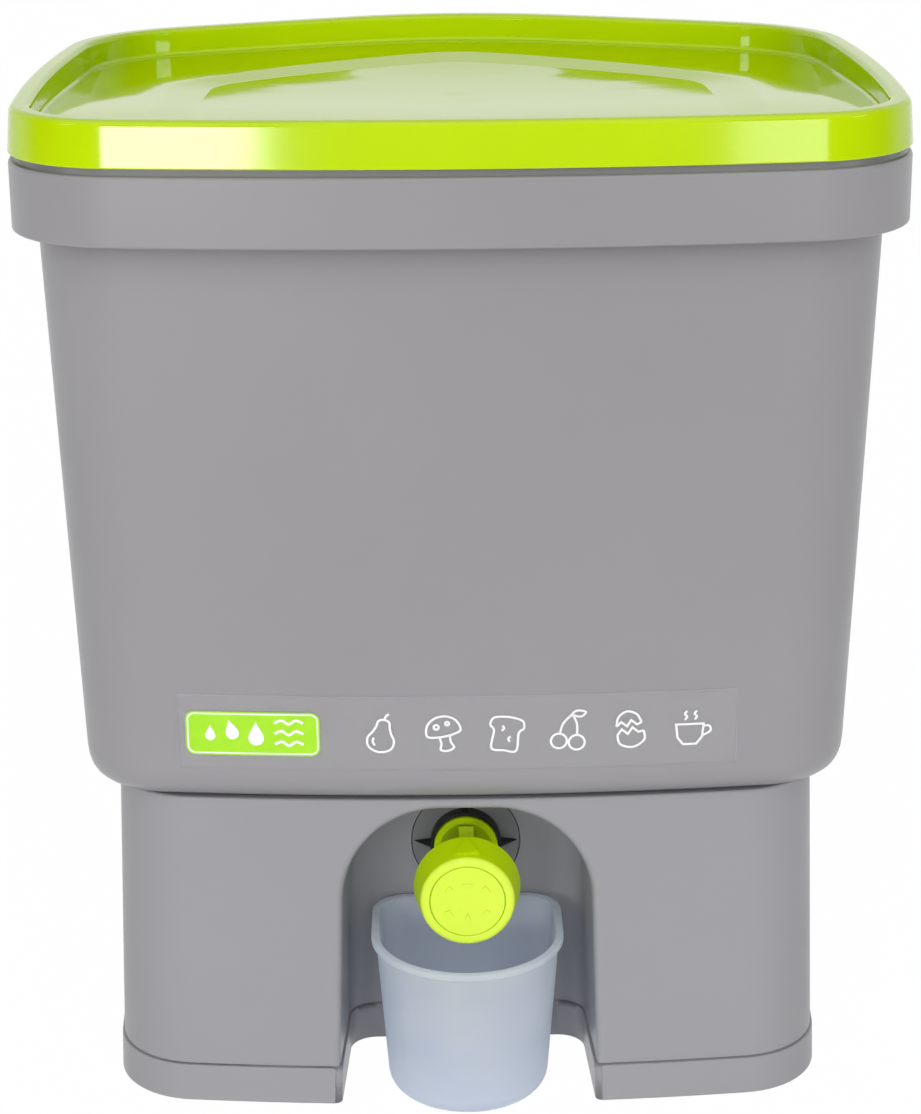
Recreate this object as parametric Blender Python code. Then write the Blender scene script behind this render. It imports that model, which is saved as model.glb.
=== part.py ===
# Bokashi bin: tray lid, bucket with sump, skirt stand, drain tap and collecting cup
# Metres, +Z up, front faces -Y, origin on the floor under the middle of the bounding box

import math

import bpy
import bmesh
from mathutils import Vector

# Overall sizes
half_width = 0.1600
half_depth = 0.1455
total_height = 0.3772

# Clearances
gap = 0.0003
seat_gap = 0.0001
slip_gap = 0.0001

# Plan shape of the rim: bowed front and sides, and a rear of a middle arc and two flatter arms
front_bow_radius = 0.990
side_bow_radius = 0.960
rear_bow_radius = 0.1258
rear_arm_radius = 1.570
rear_arm_angle = math.radians(21.0)
front_corner_radius = 0.0440
rear_corner_radius = 0.0646
side_middle_y = -0.0328

# Facets in half a plan outline
front_steps = 4
front_corner_steps = 6
side_steps = 4
rear_corner_steps = 8
rear_arm_steps = 2
rear_steps = 4
fillet_steps = 4
round_steps = 3
circle_steps = 32
small_circle_steps = 20

# Lid
lid_face_height = 0.0162
lid_wall = 0.0020
lid_crest_width = 0.0090
lid_face_draft = 0.0013
lid_crest_round = 0.0022
lid_top_thickness = 0.0024
lid_tray_depth = 0.0096
lid_tray_round = 0.0018
lid_floor_thickness = 0.0022
lid_shelf_inset = 0.0485
lid_dish_rear_inset = 0.0465
lid_dish_middle_radius = 0.0260
lid_dish_arm_radius = 0.2150
lid_dish_slope = 0.0160
lid_dish_depth = 0.0016
lid_dish_front_corner = 0.0200
lid_dish_rear_corner = 0.0400
lid_plug_below_skirt = 0.0034

# Lid seal
seal_height = 0.0011

# Bucket
lid_collar_gap = 0.0026
collar_height = 0.0244
collar_wall = 0.0025
collar_round = 0.0012
bucket_wall = 0.0025
lip_thickness = 0.0024
lip_channel_gap = 0.0007
lip_shoulder_drop = 0.0020
lip_shoulder_fall = 0.0018
web_outer_drop = 0.0028
web_inner_drop = 0.0066
body_top_inset = 0.0102
body_top_side_inset = 0.0082
body_bottom_inset = 0.0174
body_bottom_side_inset = 0.0160
body_bottom_corner = 0.0320
body_round = 0.0140
ledge_height = 0.1235

# Sump under the bucket
sump_side_setback = 0.0390
sump_rear_setback = 0.0390
sump_flat_radius = 40.0
sump_corner_radius = 0.0240
sump_rear_corner = 0.0460
sump_draft = 0.0015
sump_below_tap = 0.0210
sump_round = 0.0060

# Stand
stand_top_side_setback = 0.0274
stand_top_front_setback = 0.02485
stand_top_rear_setback = 0.0284
stand_foot_side_setback = 0.0241
stand_foot_front_setback = 0.0201
stand_foot_rear_setback = 0.0237
stand_front_corner = 0.0320
stand_rear_corner = 0.0520
stand_wall = 0.0025
stand_edge_chamfer = 0.0008
stand_top_thickness = 0.0025

# Alcove in the stand
alcove_half_width = 0.0466
alcove_rear_half_width = 0.0446
alcove_cover = 0.0041
alcove_arch_radius = 0.0370
alcove_side_flare = 0.0024
alcove_depth = 0.0488
alcove_rear_round = 0.0110
alcove_edge_round = 0.0028
alcove_reach = 0.0300
alcove_below = 0.0050
alcove_arch_steps = 8

# Foot ring
foot_height = 0.0148
foot_proud = 0.0008
foot_width = 0.0060
foot_tongue_height = 0.0062
foot_tongue_root = 0.0030
foot_tongue_wall = 0.0021
foot_edge_chamfer = 0.0008

# Strainer
strainer_rim_inset = 0.0245
strainer_rib_inset = 0.0305
strainer_rib_width = 0.0020
strainer_rib_height = 0.0032
strainer_plate = 0.0025
strainer_corner = 0.0240
strainer_hole_radius = 0.0025
strainer_hole_pitch = 0.0240
strainer_hole_border = 0.0580
strainer_hole_steps = 8
strainer_tab_width = 0.0260
strainer_tab_height = 0.0180
strainer_tab_thickness = 0.0030
strainer_tab_setback = 0.0760
strainer_sink = 0.0010

# Drain tap, on a horizontal axis
tap_drop = 0.0341
plate_radius = 0.0210
plate_thickness = 0.0015
bore_radius = 0.0089
tail_radius = 0.0086
tail_bore_radius = 0.0063
tail_length = 0.0188
collar_ring_radius = 0.0137
collar_ring_wall = 0.0012
collar_ring_length = 0.0056
collar_base = 0.0015
gusset_reach = 0.0199
gusset_height = 0.0046
gusset_thickness = 0.0019
shoulder_length = 0.0054
shoulder_round = 0.0004
tube_radius = 0.0100
tube_bore_radius = 0.0078
tube_length = 0.0375
tab_width = 0.0057
tab_thickness = 0.0020
tab_top_radius = 0.0150
tab_setback = 0.0125
outlet_length = 0.0090
outlet_width = 0.0090
outlet_setback = 0.01855
washer_outer_radius = 0.0145
washer_thickness = 0.0018
nut_outer_radius = 0.0172
nut_thickness = 0.0060

# Turning spool inside the barrel
spool_bore_radius = 0.0052
spool_rear_gap = 0.00295
spool_head_radius = 0.0095
spool_head_length = 0.0020
spool_peg_side = 0.0068
spool_port_radius = 0.0034
spool_groove_depth = 0.0016
spool_groove_width = 0.0019
spool_seal_section = 0.00072
spool_seal_rear_setback = 0.0065
spool_seal_front_setback = 0.0315
spool_pilot_radius = 0.0016
spool_pilot_depth = 0.0060
spool_bore_depth = 0.0355

# Knob
knob_depth = 0.01445
knob_overlap = 0.00355
knob_rear_radius = 0.0202
knob_front_radius = 0.0174
knob_face_round = 0.0022
knob_rim_round = 0.0007
knob_wall = 0.0022
knob_web = 0.0029
knob_hub_radius = 0.0072
knob_hub_length = 0.0031
knob_recess_depth = 0.00145
knob_recess_radius = 0.0141
knob_mark_length = 0.0090
knob_mark_width = 0.0094
knob_mark_height = 0.0005
knob_mark_start_share = 0.13
screw_head_radius = 0.0031
screw_head_height = 0.0014
screw_shank_radius = 0.0014
screw_length = 0.0070
disc_edge_chamfer = 0.0003

# Collecting cup
cup_half_width = 0.0365
cup_depth = 0.0708
cup_rear_gap = 0.00135
cup_knob_clearance = 0.0018
cup_rear_corner = 0.0140
cup_rim_width = 0.0018
cup_rim_height = 0.0026
cup_rim_round = 0.0006
cup_wall = 0.0012
cup_floor = 0.0016
cup_draft = 0.0046
cup_bottom_round = 0.0076
cup_front_steps = 12
cup_corner_steps = 4

# Label film on the bucket's front
label_centre_x = -0.0031
label_width = 0.2038
label_height = 0.0295
label_above_round = 0.0005
label_thickness = 0.00025
label_steps = 12

# Past-the-surface reach of cutters
overshoot = 0.0020

# Heights that follow from the sizes above
lid_skirt_bottom_z = total_height - lid_face_height
lid_channel_top_z = total_height - lid_top_thickness
lid_tray_z = total_height - lid_tray_depth
lid_plug_bottom_z = lid_skirt_bottom_z - lid_plug_below_skirt
collar_top_z = lid_skirt_bottom_z - lid_collar_gap
collar_bottom_z = collar_top_z - collar_height
ledge_bottom_z = ledge_height
body_round_z = ledge_bottom_z + body_round
ledge_top_z = ledge_bottom_z + bucket_wall
stand_top_z = ledge_bottom_z - gap
alcove_top_z = stand_top_z - alcove_cover
tap_z = alcove_top_z - tap_drop
sump_bottom_z = tap_z - sump_below_tap
sump_floor_z = sump_bottom_z + bucket_wall
cup_height = tap_z - knob_rear_radius - cup_knob_clearance
label_bottom_z = body_round_z + label_above_round
label_top_z = label_bottom_z + label_height

# Widths and depths that follow from the sizes above
sump_half_width = half_width - sump_side_setback
sump_rear = half_depth - sump_rear_setback
stand_top_half_width = half_width - stand_top_side_setback
stand_top_front = -half_depth + stand_top_front_setback
stand_top_rear = half_depth - stand_top_rear_setback
stand_foot_half_width = half_width - stand_foot_side_setback
stand_foot_front = -half_depth + stand_foot_front_setback
stand_foot_rear = half_depth - stand_foot_rear_setback
alcove_rear_y = stand_top_front + alcove_depth
strainer_tab_x = half_width - strainer_tab_setback
cup_rear = alcove_rear_y - cup_rear_gap
cup_front = cup_rear - cup_depth
label_left = label_centre_x - label_width / 2
label_right = label_centre_x + label_width / 2

# Fits between the pieces
lip_outer_inset = lid_wall + lid_face_draft + lip_channel_gap
lip_inner_inset = lip_outer_inset + lip_thickness
plug_outer_inset = lip_inner_inset + 2 * gap
plug_inner_inset = plug_outer_inset + lid_wall
lip_top_z = lid_channel_top_z - seal_height - 2 * gap - seat_gap
sump_front = alcove_rear_y + stand_wall + gap
sump_inner_y = sump_front + bucket_wall
plate_front_y = alcove_rear_y
plate_rear_y = plate_front_y + plate_thickness
collar_rear_y = plate_front_y - seat_gap
shoulder_rear_y = collar_rear_y - collar_base - seat_gap
shoulder_front_y = shoulder_rear_y - shoulder_length
shoulder_radius = collar_ring_radius - collar_ring_wall - slip_gap
tube_front_y = shoulder_front_y - tube_length
outlet_centre_y = shoulder_front_y - outlet_setback
spool_rear_y = shoulder_rear_y - spool_rear_gap
spool_seal_rear_y = spool_rear_y - spool_seal_rear_setback
spool_seal_front_y = spool_rear_y - spool_seal_front_setback
spool_bore_end_y = spool_rear_y - spool_bore_depth
knob_rear_y = tube_front_y + knob_overlap
knob_face_y = knob_rear_y - knob_depth
head_rear_y = tube_front_y - slip_gap
head_front_y = head_rear_y - spool_head_length
web_front_y = knob_face_y + knob_recess_depth
web_rear_y = web_front_y + knob_web
washer_front_y = sump_inner_y + seat_gap
washer_rear_y = washer_front_y + washer_thickness
nut_front_y = washer_rear_y + seat_gap
nut_rear_y = nut_front_y + nut_thickness

part_name = "bokashi_bin"


# Empty start
for old in list(bpy.data.objects):
    bpy.data.objects.remove(old, do_unlink=True)

part_collection = bpy.data.collections.new(part_name)
bpy.context.scene.collection.children.link(part_collection)
cutter_collection = bpy.data.collections.new("cutters")
bpy.context.scene.collection.children.link(cutter_collection)


def make_material(name, colour, roughness, transmission=0.0):
    material = bpy.data.materials.new(name)
    material.use_nodes = True
    shader = material.node_tree.nodes["Principled BSDF"]
    shader.inputs["Base Color"].default_value = (*colour, 1.0)
    shader.inputs["Roughness"].default_value = roughness
    shader.inputs["Transmission Weight"].default_value = transmission
    material.diffuse_color = (*colour, 1.0)
    return material


# Plan outlines
def rim_outline():
    return {
        "half": half_width,
        "front": -half_depth,
        "rear": half_depth,
        "front_bow": front_bow_radius,
        "side_bow": side_bow_radius,
        "rear_bow": rear_bow_radius,
        "rear_arm": rear_arm_radius,
        "front_corner": front_corner_radius,
        "rear_corner": rear_corner_radius,
    }


def inset(outline, distance):
    """The parallel outline, a distance further in."""
    moved = {key: value - distance for key, value in outline.items()}
    moved["front"] = outline["front"] + distance
    return moved


def with_corners(outline, front_corner, rear_corner):
    changed = dict(outline)
    changed["front_corner"] = front_corner
    changed["rear_corner"] = rear_corner
    return changed


def circles_meet(centre_a, radius_a, centre_b, radius_b, side):
    """One crossing point of two circles, on the given side of the line between their centres."""
    along = centre_b - centre_a
    distance = along.length
    along = along / distance
    offset = (radius_a ** 2 - radius_b ** 2 + distance ** 2) / (2 * distance)
    height = math.sqrt(max(radius_a ** 2 - offset ** 2, 0.0))
    across = Vector((-along.y, along.x)) * side
    return centre_a + along * offset + across * height


def arc(centre, radius, first, last, steps):
    """Points from one point to another round a centre, without the last one."""
    start = math.atan2(first.y - centre.y, first.x - centre.x)
    stop = math.atan2(last.y - centre.y, last.x - centre.x)
    turn = (stop - start + math.pi) % (2 * math.pi) - math.pi
    points = []
    for step in range(steps):
        angle = start + turn * step / steps
        points.append(centre + Vector((math.cos(angle), math.sin(angle))) * radius)
    return points


def plan_points(outline):
    """The closed outline as points, from the front's middle over the left side to the rear and back."""
    front_centre = Vector((0.0, outline["front"] + outline["front_bow"]))
    rear_centre = Vector((0.0, outline["rear"] - outline["rear_bow"]))
    arm_direction = Vector((-math.sin(rear_arm_angle), math.cos(rear_arm_angle)))
    arm_start = rear_centre + arm_direction * outline["rear_bow"]
    arm_centre = arm_start - arm_direction * outline["rear_arm"]
    side_centre = Vector((outline["side_bow"] - outline["half"], side_middle_y))
    front_corner = outline["front_corner"]
    rear_corner = outline["rear_corner"]
    corner_a = circles_meet(front_centre, outline["front_bow"] - front_corner,
                            side_centre, outline["side_bow"] - front_corner, -1.0)
    corner_b = circles_meet(arm_centre, outline["rear_arm"] - rear_corner,
                            side_centre, outline["side_bow"] - rear_corner, 1.0)

    def touch(centre, radius, corner):
        return centre + (corner - centre).normalized() * radius

    front_middle = Vector((0.0, outline["front"]))
    rear_middle = Vector((0.0, outline["rear"]))
    front_touch = touch(front_centre, outline["front_bow"], corner_a)
    side_touch_a = touch(side_centre, outline["side_bow"], corner_a)
    side_touch_b = touch(side_centre, outline["side_bow"], corner_b)
    rear_touch = touch(arm_centre, outline["rear_arm"], corner_b)
    left = arc(front_centre, outline["front_bow"], front_middle, front_touch, front_steps)
    left += arc(corner_a, front_corner, front_touch, side_touch_a, front_corner_steps)
    left += arc(side_centre, outline["side_bow"], side_touch_a, side_touch_b, side_steps)
    left += arc(corner_b, rear_corner, side_touch_b, rear_touch, rear_corner_steps)
    left += arc(arm_centre, outline["rear_arm"], rear_touch, arm_start, rear_arm_steps)
    left += arc(rear_centre, outline["rear_bow"], arm_start, rear_middle, rear_steps)
    left.append(rear_middle)
    right = [Vector((-point.x, point.y)) for point in left[-2:0:-1]]
    return left + right


def plan_ring(outline, z):
    return [Vector((point.x, point.y, z)) for point in plan_points(outline)]


def blend_outlines(first, second, share):
    return {key: first[key] + (second[key] - first[key]) * share for key in first}


# Meshes
def add_object(name, mesh, collection, material=None):
    item = bpy.data.objects.new(name, mesh)
    collection.objects.link(item)
    if material is not None:
        mesh.materials.append(material)
    return item


def loft(name, rings, collection, material=None, closed=False):
    """A solid through rings of equal counts, capped at both ends or joined end to end."""
    work = bmesh.new()
    rows = [[work.verts.new(point) for point in ring] for ring in rings]
    count = len(rows[0])
    pairs = list(zip(rows[:-1], rows[1:]))
    if closed:
        pairs.append((rows[-1], rows[0]))
    for row, after in pairs:
        for index in range(count):
            following = (index + 1) % count
            work.faces.new((row[index], row[following], after[following], after[index]))
    if not closed:
        work.faces.new(rows[0])
        work.faces.new(rows[-1])
    bmesh.ops.recalc_face_normals(work, faces=work.faces)
    mesh = bpy.data.meshes.new(name)
    work.to_mesh(mesh)
    work.free()
    return add_object(name, mesh, collection, material)


def tap_ring(radius, y, steps=circle_steps):
    """A circle round the tap's axis."""
    points = []
    for step in range(steps):
        angle = 2 * math.pi * step / steps
        points.append(Vector((radius * math.cos(angle), y, tap_z + radius * math.sin(angle))))
    return points


def tap_turned(name, profile, collection, material=None, closed=False, steps=circle_steps):
    """A solid of revolution round the tap's axis from (radius, y) pairs."""
    rings = [tap_ring(radius, y, steps) for radius, y in profile]
    return loft(name, rings, collection, material, closed)


def block(name, low, high, collection):
    corners = [(low[0], low[1]), (high[0], low[1]), (high[0], high[1]), (low[0], high[1])]
    rings = [[Vector((x, y, z)) for x, y in corners] for z in (low[2], high[2])]
    return loft(name, rings, collection)


def combine(target, other, operation):
    """A live exact boolean; the other object becomes a hidden cutter."""
    modifier = target.modifiers.new(operation.lower() + "_" + other.name, "BOOLEAN")
    modifier.operation = operation
    modifier.solver = "EXACT"
    modifier.object = other
    other.hide_render = True
    other.display_type = "WIRE"


def fillet_profile(start_inset, start_z, radius, steps, downward=True):
    """Quarter round from a wall into a flat: (inset, z) pairs after the start."""
    sign = -1.0 if downward else 1.0
    pairs = []
    for step in range(1, steps + 1):
        angle = 0.5 * math.pi * step / steps
        pairs.append((start_inset + radius * (1 - math.cos(angle)),
                      start_z + sign * radius * math.sin(angle)))
    return pairs


# Materials
lime_plastic = make_material("lime_plastic", (0.55, 0.78, 0.01), 0.22)
grey_plastic = make_material("grey_plastic", (0.32, 0.31, 0.31), 0.35)
stand_plastic = make_material("stand_grey_plastic", (0.34, 0.33, 0.34), 0.38)
foot_plastic = make_material("foot_grey_plastic", (0.33, 0.32, 0.33), 0.40)
plate_plastic = make_material("plate_grey_plastic", (0.20, 0.20, 0.20), 0.45)
black_plastic = make_material("black_plastic", (0.02, 0.02, 0.02), 0.45)
tap_lime = make_material("tap_lime_plastic", (0.60, 0.85, 0.03), 0.30)
knob_lime = make_material("knob_lime_plastic", (0.62, 0.88, 0.04), 0.30)
disc_lime = make_material("disc_lime_plastic", (0.66, 0.90, 0.06), 0.35)
spool_white = make_material("spool_white_plastic", (0.80, 0.80, 0.76), 0.35)
strainer_grey = make_material("strainer_grey_plastic", (0.26, 0.26, 0.26), 0.42)
seal_rubber = make_material("seal_rubber", (0.70, 0.70, 0.68), 0.70)
black_rubber = make_material("black_rubber", (0.03, 0.03, 0.03), 0.80)
screw_steel = make_material("screw_steel", (0.55, 0.55, 0.56), 0.30)
nut_plastic = make_material("nut_black_plastic", (0.04, 0.04, 0.04), 0.50)
cup_plastic = make_material("cup_translucent_plastic", (0.80, 0.86, 0.92), 0.25, 0.6)
film_plastic = make_material("label_clear_film", (0.45, 0.45, 0.45), 0.12, 0.3)

rim = rim_outline()


# Lid: rim channel, shelf and shallow dish, as one closed shell
def lid_rings():
    crest_outer = lid_face_draft + lid_crest_round
    inner_wall = lid_crest_width
    floor_outer = inner_wall + lid_tray_round
    dish_edge = with_corners(inset(rim, lid_shelf_inset), lid_dish_front_corner, lid_dish_rear_corner)
    dish_edge["rear"] = half_depth - lid_dish_rear_inset
    dish_edge["rear_bow"] = lid_dish_middle_radius
    dish_edge["rear_arm"] = lid_dish_arm_radius
    dish_foot = inset(dish_edge, lid_dish_slope)
    tray_under_z = lid_tray_z - lid_floor_thickness
    rings = []
    # Dish floor outwards to the shelf
    rings.append(plan_ring(dish_foot, lid_tray_z - lid_dish_depth))
    rings.append(plan_ring(dish_edge, lid_tray_z))
    rings.append(plan_ring(inset(rim, floor_outer), lid_tray_z))
    # Fillet up the inner wall
    for distance, height in fillet_profile(inner_wall, lid_tray_z + lid_tray_round,
                                           lid_tray_round, round_steps)[-2::-1]:
        rings.append(plan_ring(inset(rim, distance), height))
    rings.append(plan_ring(inset(rim, inner_wall), lid_tray_z + lid_tray_round))
    # Over the crest
    for step in range(round_steps + 1):
        angle = 0.5 * math.pi * step / round_steps
        distance = inner_wall - lid_crest_round * (1 - math.cos(angle))
        height = total_height - lid_crest_round * (1 - math.sin(angle))
        rings.append(plan_ring(inset(rim, distance), height))
    for step in range(round_steps + 1):
        angle = 0.5 * math.pi * step / round_steps
        distance = crest_outer - lid_crest_round * math.sin(angle)
        height = total_height - lid_crest_round * (1 - math.cos(angle))
        rings.append(plan_ring(inset(rim, distance), height))
    # Down the outer face and up into the channel
    rings.append(plan_ring(rim, lid_skirt_bottom_z))
    rings.append(plan_ring(inset(rim, lid_wall), lid_skirt_bottom_z))
    rings.append(plan_ring(inset(rim, lid_wall + lid_face_draft), lid_channel_top_z))
    rings.append(plan_ring(inset(rim, plug_outer_inset), lid_channel_top_z))
    # Plug wall down inside the bucket's lip, then the underside of the floor
    rings.append(plan_ring(inset(rim, plug_outer_inset), lid_plug_bottom_z))
    rings.append(plan_ring(inset(rim, plug_inner_inset), lid_plug_bottom_z))
    rings.append(plan_ring(inset(rim, plug_inner_inset), tray_under_z))
    rings.append(plan_ring(dish_edge, tray_under_z))
    rings.append(plan_ring(dish_foot, tray_under_z - lid_dish_depth))
    return rings


lid = loft("lid", lid_rings(), part_collection, lime_plastic)


# Seal ring in the top of the lid's channel
def seal_rings():
    outer = inset(rim, lid_wall + lid_face_draft + gap)
    inner = inset(rim, plug_outer_inset - gap)
    top = lid_channel_top_z - gap
    bottom = top - seal_height
    return [plan_ring(outer, top), plan_ring(outer, bottom), plan_ring(inner, bottom), plan_ring(inner, top)]


lid_seal = loft("lid_seal", seal_rings(), part_collection, seal_rubber, closed=True)


# Bucket: lip, hanging collar, tapered body, rounded bottom edge and sump
def body_outline(z):
    """Outer outline of the tapered body at a height."""
    top = inset(rim, body_top_inset)
    top["half"] = half_width - body_top_side_inset
    bottom = with_corners(inset(rim, body_bottom_inset), body_bottom_corner,
                          rear_corner_radius - body_bottom_inset)
    bottom["half"] = half_width - body_bottom_side_inset
    share = (collar_top_z - z) / (collar_top_z - body_round_z)
    return blend_outlines(top, bottom, share)


def sump_outline(z):
    """Outer outline of the sump at a height."""
    outline = {
        "half": sump_half_width,
        "front": sump_front,
        "rear": sump_rear,
        "front_bow": sump_flat_radius,
        "side_bow": side_bow_radius,
        "rear_bow": rear_bow_radius - sump_rear_setback,
        "rear_arm": rear_arm_radius - sump_rear_setback,
        "front_corner": sump_corner_radius,
        "rear_corner": sump_rear_corner,
    }
    share = (ledge_bottom_z - z) / (ledge_bottom_z - sump_bottom_z)
    drafted = inset(outline, sump_draft * share)
    drafted["front"] = sump_front
    return drafted


def bucket_rings():
    rings = []
    # Outside of the lip and the collar
    rings.append(plan_ring(inset(rim, lip_outer_inset), lip_top_z))
    rings.append(plan_ring(inset(rim, lip_outer_inset), collar_top_z))
    for step in range(round_steps):
        angle = 0.5 * math.pi * step / (round_steps - 1)
        distance = collar_round * (1 - math.sin(angle))
        height = collar_top_z - collar_round * (1 - math.cos(angle))
        rings.append(plan_ring(inset(rim, distance), height))
    rings.append(plan_ring(rim, collar_bottom_z + collar_round))
    rings.append(plan_ring(inset(rim, collar_round / 2), collar_bottom_z))
    rings.append(plan_ring(inset(rim, collar_wall), collar_bottom_z))
    # Inside of the collar to the body
    rings.append(plan_ring(inset(rim, collar_wall), collar_top_z - web_outer_drop))
    web_inner_z = collar_top_z - web_inner_drop
    rings.append(plan_ring(body_outline(web_inner_z), web_inner_z))
    # Body, rounded bottom edge, ledge and sump
    foot = body_outline(body_round_z)
    rings.append(plan_ring(foot, body_round_z))
    for distance, height in fillet_profile(0.0, body_round_z, body_round, fillet_steps):
        rings.append(plan_ring(inset(foot, distance), height))
    rings.append(plan_ring(sump_outline(ledge_bottom_z), ledge_bottom_z))
    sump_low = sump_outline(sump_bottom_z + sump_round)
    rings.append(plan_ring(sump_low, sump_bottom_z + sump_round))
    for distance, height in fillet_profile(0.0, sump_bottom_z + sump_round, sump_round, round_steps):
        rings.append(plan_ring(inset(sump_low, distance), height))
    # Back up the inside
    inner_round = sump_round - bucket_wall
    inner_low = inset(sump_low, bucket_wall)
    inner_pairs = fillet_profile(0.0, sump_floor_z + inner_round, inner_round, round_steps)
    for distance, height in inner_pairs[::-1]:
        rings.append(plan_ring(inset(inner_low, distance), height))
    rings.append(plan_ring(inner_low, sump_floor_z + inner_round))
    rings.append(plan_ring(inset(sump_outline(ledge_top_z), bucket_wall), ledge_top_z))
    body_inner = inset(foot, bucket_wall)
    for distance, height in fillet_profile(0.0, body_round_z, body_round - bucket_wall, fillet_steps)[::-1]:
        rings.append(plan_ring(inset(body_inner, distance), height))
    rings.append(plan_ring(body_inner, body_round_z))
    shoulder_low_z = collar_top_z - lip_shoulder_drop - lip_shoulder_fall
    rings.append(plan_ring(inset(body_outline(shoulder_low_z), bucket_wall), shoulder_low_z))
    rings.append(plan_ring(inset(rim, lip_inner_inset), collar_top_z - lip_shoulder_drop))
    rings.append(plan_ring(inset(rim, lip_inner_inset), lip_top_z))
    return rings


def bucket_solid():
    """The bucket's rings, closed from the lip's inside back to its outside, with the two floors capped."""
    rings = bucket_rings()
    lowest = min(range(len(rings)), key=lambda index: rings[index][0].z)
    return rings[lowest + 1:] + rings[:lowest + 1]


bucket = loft("bucket", bucket_solid(), part_collection, grey_plastic)
bucket_bore = tap_turned("bucket_bore", [(bore_radius, sump_front - overshoot),
                                         (bore_radius, sump_inner_y + overshoot)], cutter_collection)
combine(bucket, bucket_bore, "DIFFERENCE")


# Stand
def stand_outline(z):
    """Outer outline of the stand at a height, with the draft carried on to the floor."""
    top = inset(rim, half_width - stand_top_half_width)
    top["front"] = stand_top_front
    top["rear"] = stand_top_rear
    top = with_corners(top, stand_front_corner, stand_rear_corner)
    foot = inset(rim, half_width - stand_foot_half_width)
    foot["front"] = stand_foot_front
    foot["rear"] = stand_foot_rear
    foot = with_corners(foot, stand_front_corner, stand_rear_corner)
    share = (stand_top_z - z) / (stand_top_z - foot_height)
    return blend_outlines(top, foot, share)


def stand_front_y(x, z, outline_inset=0.0):
    """The stand's front surface at a point of its front."""
    outline = inset(stand_outline(z), outline_inset)
    bow = outline["front_bow"]
    return outline["front"] + bow - math.sqrt(bow ** 2 - x ** 2)


def alcove_section(half, outset):
    """Arch outline as (x, z) pairs from the left foot over the top to the right foot."""
    radius = alcove_arch_radius + outset
    wide = half + outset
    spring_z = alcove_top_z - alcove_arch_radius
    flare = alcove_side_flare / spring_z
    left = []
    for z in (-alcove_below, foot_height, spring_z / 2):
        left.append((-(wide + (spring_z - z) * flare), z))
    for step in range(alcove_arch_steps + 1):
        angle = 0.5 * math.pi * step / alcove_arch_steps
        left.append((-(wide - radius + radius * math.cos(angle)), spring_z + radius * math.sin(angle)))
    right = [(-x, z) for x, z in left[::-1]]
    return left + right


def alcove_rings(outset, edge_round):
    """Arch sections from in front of the stand to the alcove's back wall."""
    rings = []
    # Rounded front edge, measured from the stand's sloping front
    depths = [-alcove_reach]
    if edge_round:
        depths += [edge_round * (1 - math.cos(0.5 * math.pi * step / round_steps))
                   for step in range(round_steps + 1)]
    for depth in depths:
        inside = min(max(edge_round - depth, 0.0), edge_round)
        flare = edge_round - math.sqrt(edge_round ** 2 - inside ** 2)
        section = alcove_section(alcove_half_width, outset + flare)
        rings.append([Vector((x, stand_front_y(x, z) + depth, z)) for x, z in section])
    # Straight part, then the rounded join with the back wall
    rear_y = alcove_rear_y + outset
    rear_round = alcove_rear_round + outset
    for step in range(fillet_steps + 1):
        angle = 0.5 * math.pi * step / fillet_steps
        y = rear_y - rear_round * (1 - math.sin(angle))
        shrink = rear_round * (1 - math.cos(angle))
        section = alcove_section(alcove_rear_half_width, outset - shrink)
        rings.append([Vector((x, y, z)) for x, z in section])
    return rings


def stand_rings(low_z, high_z, distance, chamfer=0.0):
    """Rings of the stand's outline between two heights, set in by a distance."""
    rings = [plan_ring(inset(stand_outline(low_z), distance), low_z)]
    if chamfer:
        rings.append(plan_ring(inset(stand_outline(high_z - chamfer), distance), high_z - chamfer))
        rings.append(plan_ring(inset(stand_outline(high_z), distance + chamfer), high_z))
    else:
        rings.append(plan_ring(inset(stand_outline(high_z), distance), high_z))
    return rings


def alcove_solid(name, outset, edge_round):
    return loft(name, alcove_rings(outset, edge_round), cutter_collection)


stand_bottom_z = foot_height + gap
stand = loft("stand", stand_rings(stand_bottom_z, stand_top_z, 0.0, stand_edge_chamfer),
             part_collection, stand_plastic)
stand_cavity = loft("stand_cavity",
                    stand_rings(stand_bottom_z - overshoot, stand_top_z - stand_top_thickness, stand_wall),
                    cutter_collection)
stand_alcove_wall = alcove_solid("stand_alcove_wall", stand_wall, 0.0)
combine(stand_cavity, stand_alcove_wall, "DIFFERENCE")
stand_alcove = alcove_solid("stand_alcove", 0.0, alcove_edge_round)
sump_hole_rings = [plan_ring(inset(sump_outline(ledge_bottom_z), -2 * gap), z)
                   for z in (stand_top_z - stand_top_thickness - overshoot, stand_top_z + overshoot)]
stand_sump_hole = loft("stand_sump_hole", sump_hole_rings, cutter_collection)
plate_hole = tap_turned("plate_hole", [(plate_radius + gap, alcove_rear_y - overshoot),
                                       (plate_radius + gap, sump_front + overshoot)], cutter_collection)
combine(stand, stand_cavity, "DIFFERENCE")
combine(stand, stand_alcove, "DIFFERENCE")
combine(stand, stand_sump_hole, "DIFFERENCE")
combine(stand, plate_hole, "DIFFERENCE")


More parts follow.
